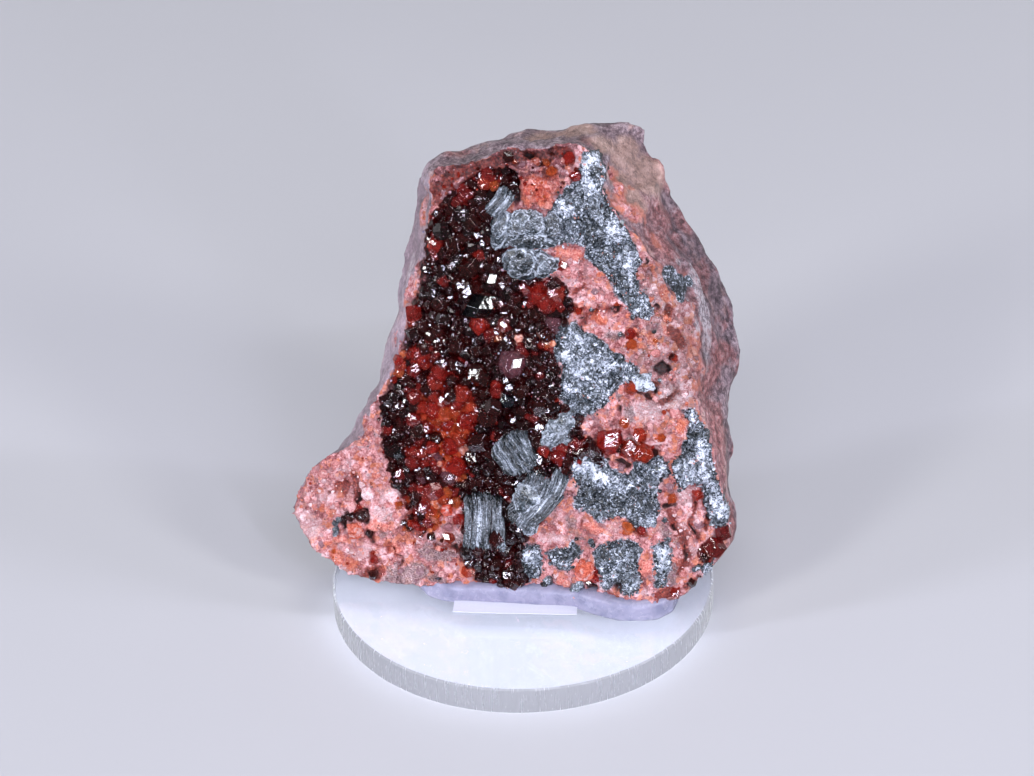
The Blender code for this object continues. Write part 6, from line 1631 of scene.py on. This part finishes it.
# Books. A stack is seen edge on: (u, v, way its leaves run in degrees, half length, depth, thickness of the stack, leaves, how far out, extras).
# A plate is seen face on: (u, v, half width, half height, turn, tilt out to the right, tilt out upward, how far out, thickness, dome, tone, rim).
BOOKS = {
    "chlorite_book_top": [
        ("stack", -4.7, 65.0, 56, 2.5, 1.3, 3.0, 22, 0.7, {"bright": 0.44, "wave": 0.05, "bend": 0.10, "taper": 0.3, "spread": 0.34}),
        ("plate", -4.7, 60.7, 2.92, 1.54, 67, -26, 4, 1.30, 0.7, 0.55, 0.23, 0.05), ("plate", -4.3, 61.4, 2.01, 1.06, 60, -20, 10, 1.65, 0.4, 0.35, 0.31, 0.05),
        ("plate", -5.8, 59.1, 1.15, 0.55, 80, -40, 0, 0.90, 0.5, 0.25, 0.29, 0.05), ("plate", -4.6, 58.9, 1.59, 1.17, 30, -16, -22, 1.05, 0.5, 0.40, 0.17, 0.05)],
    "chlorite_book_upper": [
        ("plate", -0.5, 61.8, 3.29, 2.23, 10, 2, 8, 1.35, 0.9, 0.55, 0.21, 0.05), ("plate", -1.3, 62.2, 2.12, 1.59, 25, -8, 14, 1.65, 0.5, 0.35, 0.27, 0.05),
        ("plate", 0.7, 61.4, 1.59, 1.27, -15, 8, -4, 1.85, 0.4, 0.30, 0.33, 0.04), ("plate", -0.6, 58.8, 3.60, 1.38, 4, 0, -26, 0.95, 0.7, 0.35, 0.06, 0.07),
        ("plate", 3.6, 61.7, 1.70, 1.64, 40, 12, 6, 0.95, 0.7, 0.45, 0.06, 0.06), ("plate", 1.9, 60.2, 1.48, 0.85, 30, 10, -14, 1.15, 0.5, 0.25, 0.43, 0.05)],
    "chlorite_book_middle": [
        ("plate", -1.8, 55.4, 2.76, 2.12, 18, -18, -6, 1.20, 0.9, 0.55, 0.06, 0.07), ("plate", -1.1, 55.2, 2.01, 1.59, 30, -8, -10, 1.55, 0.5, 0.40, 0.12, 0.06),
        ("plate", -0.2, 55.5, 1.2, 1.7, -20, 6, -4, 1.75, 0.4, 0.30, 0.06, 0.07), ("plate", 2.3, 54.9, 2.12, 1.80, -8, 18, -10, 1.05, 0.9, 0.55, 0.06, 0.06),
        ("plate", 2.6, 54.7, 1.1, 1.0, 20, 24, -8, 1.45, 0.4, 0.30, 0.42, 0.04), ("plate", -0.6, 53.0, 1.59, 0.80, -10, 0, -30, 0.85, 0.5, 0.25, 0.30, 0.05),
        ("plate", 1.2, 56.8, 1.80, 0.85, 6, 6, 24, 0.85, 0.5, 0.25, 0.06, 0.06)],
    "chlorite_book_knob": [
        ("plate", 5.1, 26.8, 2.4, 2.3, 30, -4, -8, 1.35, 1.2, 0.75, 0.66, 0.05), ("plate", 6.5, 29.2, 1.6, 2.0, -20, 8, 10, 1.05, 0.9, 0.50, 0.52, 0.05),
        ("plate", 4.7, 28.2, 1.5, 1.4, 60, -10, 8, 1.55, 0.6, 0.45, 0.60, 0.05), ("stack", 6.2, 27.6, 52, 2.2, 1.2, 1.6, 10, 1.0, {"bright": 0.60, "wave": 0.04})],
    "chlorite_book_slant": [
        ("stack", -1.7, 23.7, -57, 3.5, 1.9, 6.4, 42, 0.85, {"bright": 0.26, "wave": 0.06, "bend": 0.13, "taper": 0.35, "spread": 0.40, "glow": [(-0.1, 0.75, 0.9, 0.16, 0.6), (-0.2, -0.35, 0.7, 0.10, 0.5), (0.2, -0.9, 0.5, 0.3, -0.2)]}),
        ("plate", 0.2, 25.6, 1.0, 0.8, -57, 10, 26, 2.2, 0.5, 0.2, 0.76, 0.04)],
    "chlorite_book_tall": [
        # the tall book's glows paint a satin sheen across the middle of its leaves and darken their ends
        ("stack", -7.1, 11.8, 91, 4.9, 2.0, 6.2, 46, 0.85, {"bright": 0.36, "wave": 0.035, "bend": 0.03, "taper": 0.20, "spread": 0.38, "glow": [(0.20, -0.75, 0.32, 0.18, 0.5), (0.10, 0.20, 0.30, 0.30, 0.55), (0.25, 0.75, 0.25, 0.16, 0.4), (1.0, 0.0, 0.35, 2.0, -0.35), (-1.0, 0.2, 0.3, 2.0, -0.2)]}),
        ("stack", -3.9, 10.0, 97, 2.8, 1.2, 1.5, 10, 0.5, {"bright": 0.28, "wave": 0.030, "bend": 0.03, "taper": 0.20, "spread": 0.24})],
    "chlorite_book_curl": [
        ("stack", 1.7, 15.8, 60, 4.7, 1.9, 6.6, 46, 0.75, {"bright": 0.34, "wave": 0.055, "bend": 0.08, "taper": 0.35, "spread": 0.42, "fan": 0.10, "glow": [(0.1, -0.1, 0.45, 0.40, 0.35), (-0.8, 0.3, 0.4, 0.5, -0.25)]}),
        ("stack", 5.2, 17.9, 68, 3.7, 1.6, 2.6, 18, 0.6, {"bright": 0.40, "wave": 0.045, "bend": 0.05, "taper": 0.30, "spread": 0.34}),
        ("plate", -1.6, 14.1, 1.0, 1.5, 15, -34, -6, 1.2, 0.7, 0.50, 0.12, 0.14), ("plate", 0.7, 16.6, 2.1, 2.6, -30, -6, 6, 2.5, 0.5, 0.30, 0.42, 0.03),
        ("plate", 0.5, 11.4, 1.5, 1.3, -10, -6, -20, 1.0, 0.8, 0.40, 0.54, 0.04)],
    "chlorite_book_bright": [
        ("plate", 18.4, 36.9, 1.5, 1.2, 28, -14, 12, 0.60, 0.6, 0.35, 0.86, 0.05), ("plate", 19.6, 36.2, 1.4, 1.0, -24, 16, -6, 0.75, 0.5, 0.30, 0.99, 0.04),
        ("plate", 18.7, 35.8, 1.3, 0.8, 12, -6, -24, 0.55, 0.5, 0.25, 0.80, 0.05), ("plate", 19.3, 37.5, 1.2, 0.7, 8, 10, 22, 0.50, 0.5, 0.25, 0.70, 0.05)],
}


def in_face(degrees):
    return np.array([math.cos(math.radians(degrees)), math.sin(math.radians(degrees)), 0.0])


for name, parts in BOOKS.items():
    pile = Pile()
    for k in range(len(parts)):
        if parts[k][0] == "plate" and max(parts[k][3:5]) > 1.3 and name != "chlorite_book_bright":
            # further leaves peeping out beneath this one
            _, u, v, half_u, half_v, turn, right, rise, out, thick, dome, bright, rim = parts[k]
            for drop in (0.16, 0.32):
                a = RNG.uniform(0, 6.28)
                parts.append(("plate", u + 0.16 * half_u * math.cos(a), v + 0.16 * half_v * math.sin(a), half_u * RNG.uniform(0.92, 1.07), half_v * RNG.uniform(0.92, 1.07),
                              turn + RNG.uniform(-16, 16), right + RNG.uniform(-5, 5), rise + RNG.uniform(-5, 5), out - drop, thick, dome * 0.8, bright * RNG.uniform(0.6, 1.1), rim))
    for number, (kind, u, v, *rest) in enumerate(parts):
        place, outward = on_face(u, v)
        outward = np.array([0.25 * outward[0], 0.25 * outward[1], -1.0])
        outward /= np.linalg.norm(outward)
        if kind == "stack":
            way, half_length, depth, thickness, leaves, out, extra = rest
            stack(pile, RNG, place + outward * out, basis(np.cross(in_face(way), outward), in_face(way)), half_length, depth, thickness, leaves, **extra)
        else:
            half_u, half_v, turn, right, rise, out, thick, dome, bright, rim = rest
            axis = outward + in_face(0) * math.tan(math.radians(right)) + in_face(90) * math.tan(math.radians(rise))
            plate(pile, RNG, place + outward * out, basis(axis, in_face(turn)), half_u, half_v, thick + 0.6 * out, dome, bright, rim, lobes=0.13, rough=0.11, seed=number + len(name) * 0.37)
    book = pile.build(name + "_leaves", [LEAF], "smooth", 40)
    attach(book, "root")
    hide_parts(name)
    print(name, len(book.data.polygons))

# ---------------------------------------------------------------- build: tack, label, round


def build_tack():
    bm = bmesh.new()
    low, high = (BASE_THICKNESS - 2.0) * MM, (BASE_THICKNESS + TACK_HEIGHT) * MM
    face = bm.faces.new([bm.verts.new((x * MM, y * MM, low)) for x, y in TACK_EDGE])
    grown = bmesh.ops.extrude_face_region(bm, geom=[face])
    top = [item for item in grown["geom"] if isinstance(item, bmesh.types.BMVert)]
    bmesh.ops.translate(bm, vec=(0, 0, high - low), verts=top)
    bmesh.ops.recalc_face_normals(bm, faces=bm.faces)
    mesh = bpy.data.meshes.new("tack")
    bm.to_mesh(mesh)
    bm.free()
    obj = link(bpy.data.objects.new("tack_pad", mesh))
    remesh = obj.modifiers.new("Even", "REMESH")
    remesh.mode = "VOXEL"
    remesh.voxel_size = 0.35 * MM
    soft = obj.modifiers.new("Pressed", "SMOOTH")
    soft.factor = 0.5
    soft.iterations = 34
    settle(obj)
    mesh = obj.data
    p = coords(mesh)
    n = normals_of(mesh)
    p += n * ((fractal(p * 1000, 4.0, (3, 5, 1), 2) * 0.35) * MM)[:, None]
    p[:, 2] = np.maximum(p[:, 2], (BASE_THICKNESS + 0.02) * MM)
    put_coords(mesh, p)
    mesh.shade_smooth()
    mesh.materials.append(tack_material())
    return obj


TACK = build_tack()
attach(TACK, "root")
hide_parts("mineral_tack")


def build_label():
    nx, ny = 60, 26
    x, y, t = LABEL_SIZE
    verts, faces = [], []
    for layer in (0, 1):
        for j in range(ny + 1):
            for i in range(nx + 1):
                px, py = (i / nx - 0.5) * x, (j / ny - 0.5) * y
                lift = 0.10 + 0.10 * (0.5 + 0.5 * noise.noise(Vector((px / 5.0, py / 5.0, 3.0)))) + 0.10 * max(0.0, -py / y * 2) ** 2 * (abs(px) / x * 2) ** 3
                verts.append((px, py, lift + layer * 0.12))
    row = nx + 1
    size = row * (ny + 1)
    for j in range(ny):
        for i in range(nx):
            a = j * row + i
            faces.append((a, a + row, a + row + 1, a + 1))
            faces.append((size + a, size + a + 1, size + a + row + 1, size + a + row))
    for i in range(nx):
        a, b = i, ny * row + i
        faces.append((a, a + 1, size + a + 1, size + a))
        faces.append((b, size + b, size + b + 1, b + 1))
    for j in range(ny):
        a, b = j * row, j * row + nx
        faces.append((a, size + a, size + a + row, a + row))
        faces.append((b, b + row, size + b + row, size + b))
    mesh = bpy.data.meshes.new("label_paper")
    mesh.from_pydata(verts, [], faces)
    place = (Matrix.Translation(Vector((LABEL_CENTRE[0], LABEL_CENTRE[1], BASE_THICKNESS)) * MM)
             @ Matrix.Rotation(math.radians(LABEL_YAW_DEG), 4, "Z") @ Matrix.Scale(MM, 4))
    mesh.transform(place)
    mesh.update()
    mesh.materials.append(label_material())
    return link(bpy.data.objects.new("label_paper", mesh))


LABEL = build_label()
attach(LABEL, "root")
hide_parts("paper_label")


def build_round():
    """The acrylic round: a turned profile whose rim keeps the fine upright marks of its cutter."""
    rng = random.Random(4)
    count = 720
    marks = np.array([rng.gauss(0, 1) for _ in range(count)])
    marks = 0.012 * (marks + np.roll(marks, 1)) + 0.02 * np.sin(np.arange(count) * 2 * math.pi * 31 / count)
    radius, top = BASE_DIAMETER / 2, BASE_THICKNESS
    profile = [(radius - 0.32, 0.0), (radius - 0.04, 0.26), (radius, 0.6), (radius, top / 2), (radius, top - 0.6), (radius - 0.04, top - 0.26), (radius - 0.32, top)]
    bm = bmesh.new()
    rows = []
    for k, (r, z) in enumerate(profile):
        share = (0.0, 0.6, 1.0, 1.0, 1.0, 0.6, 0.0)[k]
        rows.append([bm.verts.new(((r - 0.03 + share * marks[i]) * math.cos(2 * math.pi * i / count) * MM,
                                   (r - 0.03 + share * marks[i]) * math.sin(2 * math.pi * i / count) * MM, z * MM)) for i in range(count)])
    for a, b in zip(rows, rows[1:]):
        for i in range(count):
            j = (i + 1) % count
            made = bm.faces.new((a[i], a[j], b[j], b[i]))
            made.material_index = 1
            made.smooth = True
    bm.faces.new(rows[-1])
    bm.faces.new(list(reversed(rows[0])))
    bmesh.ops.recalc_face_normals(bm, faces=bm.faces)
    mesh = bpy.data.meshes.new("acrylic_disc")
    bm.to_mesh(mesh)
    bm.free()
    mesh.set_sharp_from_angle(angle=math.radians(28))
    mesh.materials.append(acrylic_material("acrylic_face", False))
    mesh.materials.append(acrylic_material("acrylic_rim", True))
    return link(bpy.data.objects.new("acrylic_disc", mesh))


ROUND = build_round()
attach(ROUND, "root")
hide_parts("acrylic_round")

# ---------------------------------------------------------------- stage, lights, camera

bm = bmesh.new()
bmesh.ops.create_grid(bm, x_segments=1, y_segments=1, size=3.0)
mesh = bpy.data.meshes.new("floor")
bm.to_mesh(mesh)
bm.free()
mesh.materials.append(floor_material())
FLOOR = link(bpy.data.objects.new("floor", mesh))
FLOOR.location.z = -0.0002
FLOOR.visible_glossy = False

bpy.context.scene.view_settings.view_transform = "Standard"
world = bpy.data.worlds.new("studio")
bpy.context.scene.world = world
world.use_nodes = True
# a soft sky: dim overhead and in front, paler low down behind, as a backdrop is
sky = world.node_tree.nodes["Background"]
ways = world.node_tree.nodes.new("ShaderNodeTexCoord")
parts = world.node_tree.nodes.new("ShaderNodeSeparateXYZ")
behind = world.node_tree.nodes.new("ShaderNodeMapRange")
behind.interpolation_type = "SMOOTHSTEP"
low = world.node_tree.nodes.new("ShaderNodeMapRange")
low.interpolation_type = "SMOOTHSTEP"
both = world.node_tree.nodes.new("ShaderNodeMath")
both.operation = "MULTIPLY"
for node, (a, b, c, d) in ((behind, (-0.2, 0.6, 0.0, 0.55)), (low, (0.75, 0.25, 0.0, 1.0))):
    for socket, value in zip(list(node.inputs)[1:5], (a, b, c, d)):
        socket.default_value = value
total = world.node_tree.nodes.new("ShaderNodeMath")
total.operation = "ADD"
total.inputs[1].default_value = 0.10
wire = world.node_tree.links.new
wire(ways.outputs["Generated"], parts.inputs[0])
wire(parts.outputs["Y"], behind.inputs[0])
wire(parts.outputs["Z"], low.inputs[0])
wire(behind.outputs[0], both.inputs[0])
wire(low.outputs[0], both.inputs[1])
wire(both.outputs[0], total.inputs[0])
wire(total.outputs[0], sky.inputs["Strength"])
sky.inputs["Color"].default_value = (0.93, 0.95, 1.0, 1.0)


def area(name, place, aim, size, power, colour=(1, 1, 1)):
    data = bpy.data.lights.new(name, "AREA")
    data.shape = "RECTANGLE"
    data.size, data.size_y = size
    data.energy = power
    data.color = colour
    obj = link(bpy.data.objects.new(name, data))
    obj.location = place
    obj.visible_camera = False
    obj.rotation_euler = (Vector(aim) - Vector(place)).to_track_quat("-Z", "Y").to_euler()
    return obj


KEY, STRIP, AIM = (0.97, 0.975, 1.0), (0.80, 0.81, 1.0), (0, 0.0, 0.035)
area("key_left", (-0.95, -0.90, 0.80), AIM, (0.26, 0.36), 7.5, KEY)
area("key_right", (1.00, -0.80, 0.78), AIM, (0.24, 0.34), 6.0, KEY)
area("top", (0.05, 0.20, 0.90), AIM, (0.40, 0.32), 1.8, KEY)
area("strip_front", (0.10, -0.75, 0.95), AIM, (1.00, 0.05), 5.0, STRIP)
area("strip_low", (-0.20, -1.10, 0.22), AIM, (0.90, 0.05), 5.5, STRIP)
area("strip_left", (-1.10, -0.25, 0.45), AIM, (0.055, 0.80), 6.0, STRIP)
area("strip_right", (1.10, -0.15, 0.45), AIM, (0.055, 0.80), 5.5, STRIP)
area("strip_middle", (0.45, -1.05, 0.58), AIM, (0.05, 0.70), 4.5, STRIP)

CAMERA = bpy.data.cameras.new("camera")
CAMERA.sensor_width = 36.0
CAMERA.lens = 3594.85 * 36.0 / 1034.0
CAMERA.clip_start = 0.01
eye = link(bpy.data.objects.new("camera", CAMERA))
tilt, roll, distance = math.radians(32.239), math.radians(-1.6297), 0.580
look = Vector((0, math.cos(tilt), -math.sin(tilt)))
right = Vector((1, 0, 0))
up = right.cross(look)
right2 = math.cos(roll) * right + math.sin(roll) * up
up2 = -math.sin(roll) * right + math.cos(roll) * up
place = Vector((-0.000085, 0, 0.041694)) - distance * look
eye.matrix_world = Matrix.Translation(place) @ Matrix((right2, up2, -look)).transposed().to_4x4()
bpy.context.scene.camera = eye
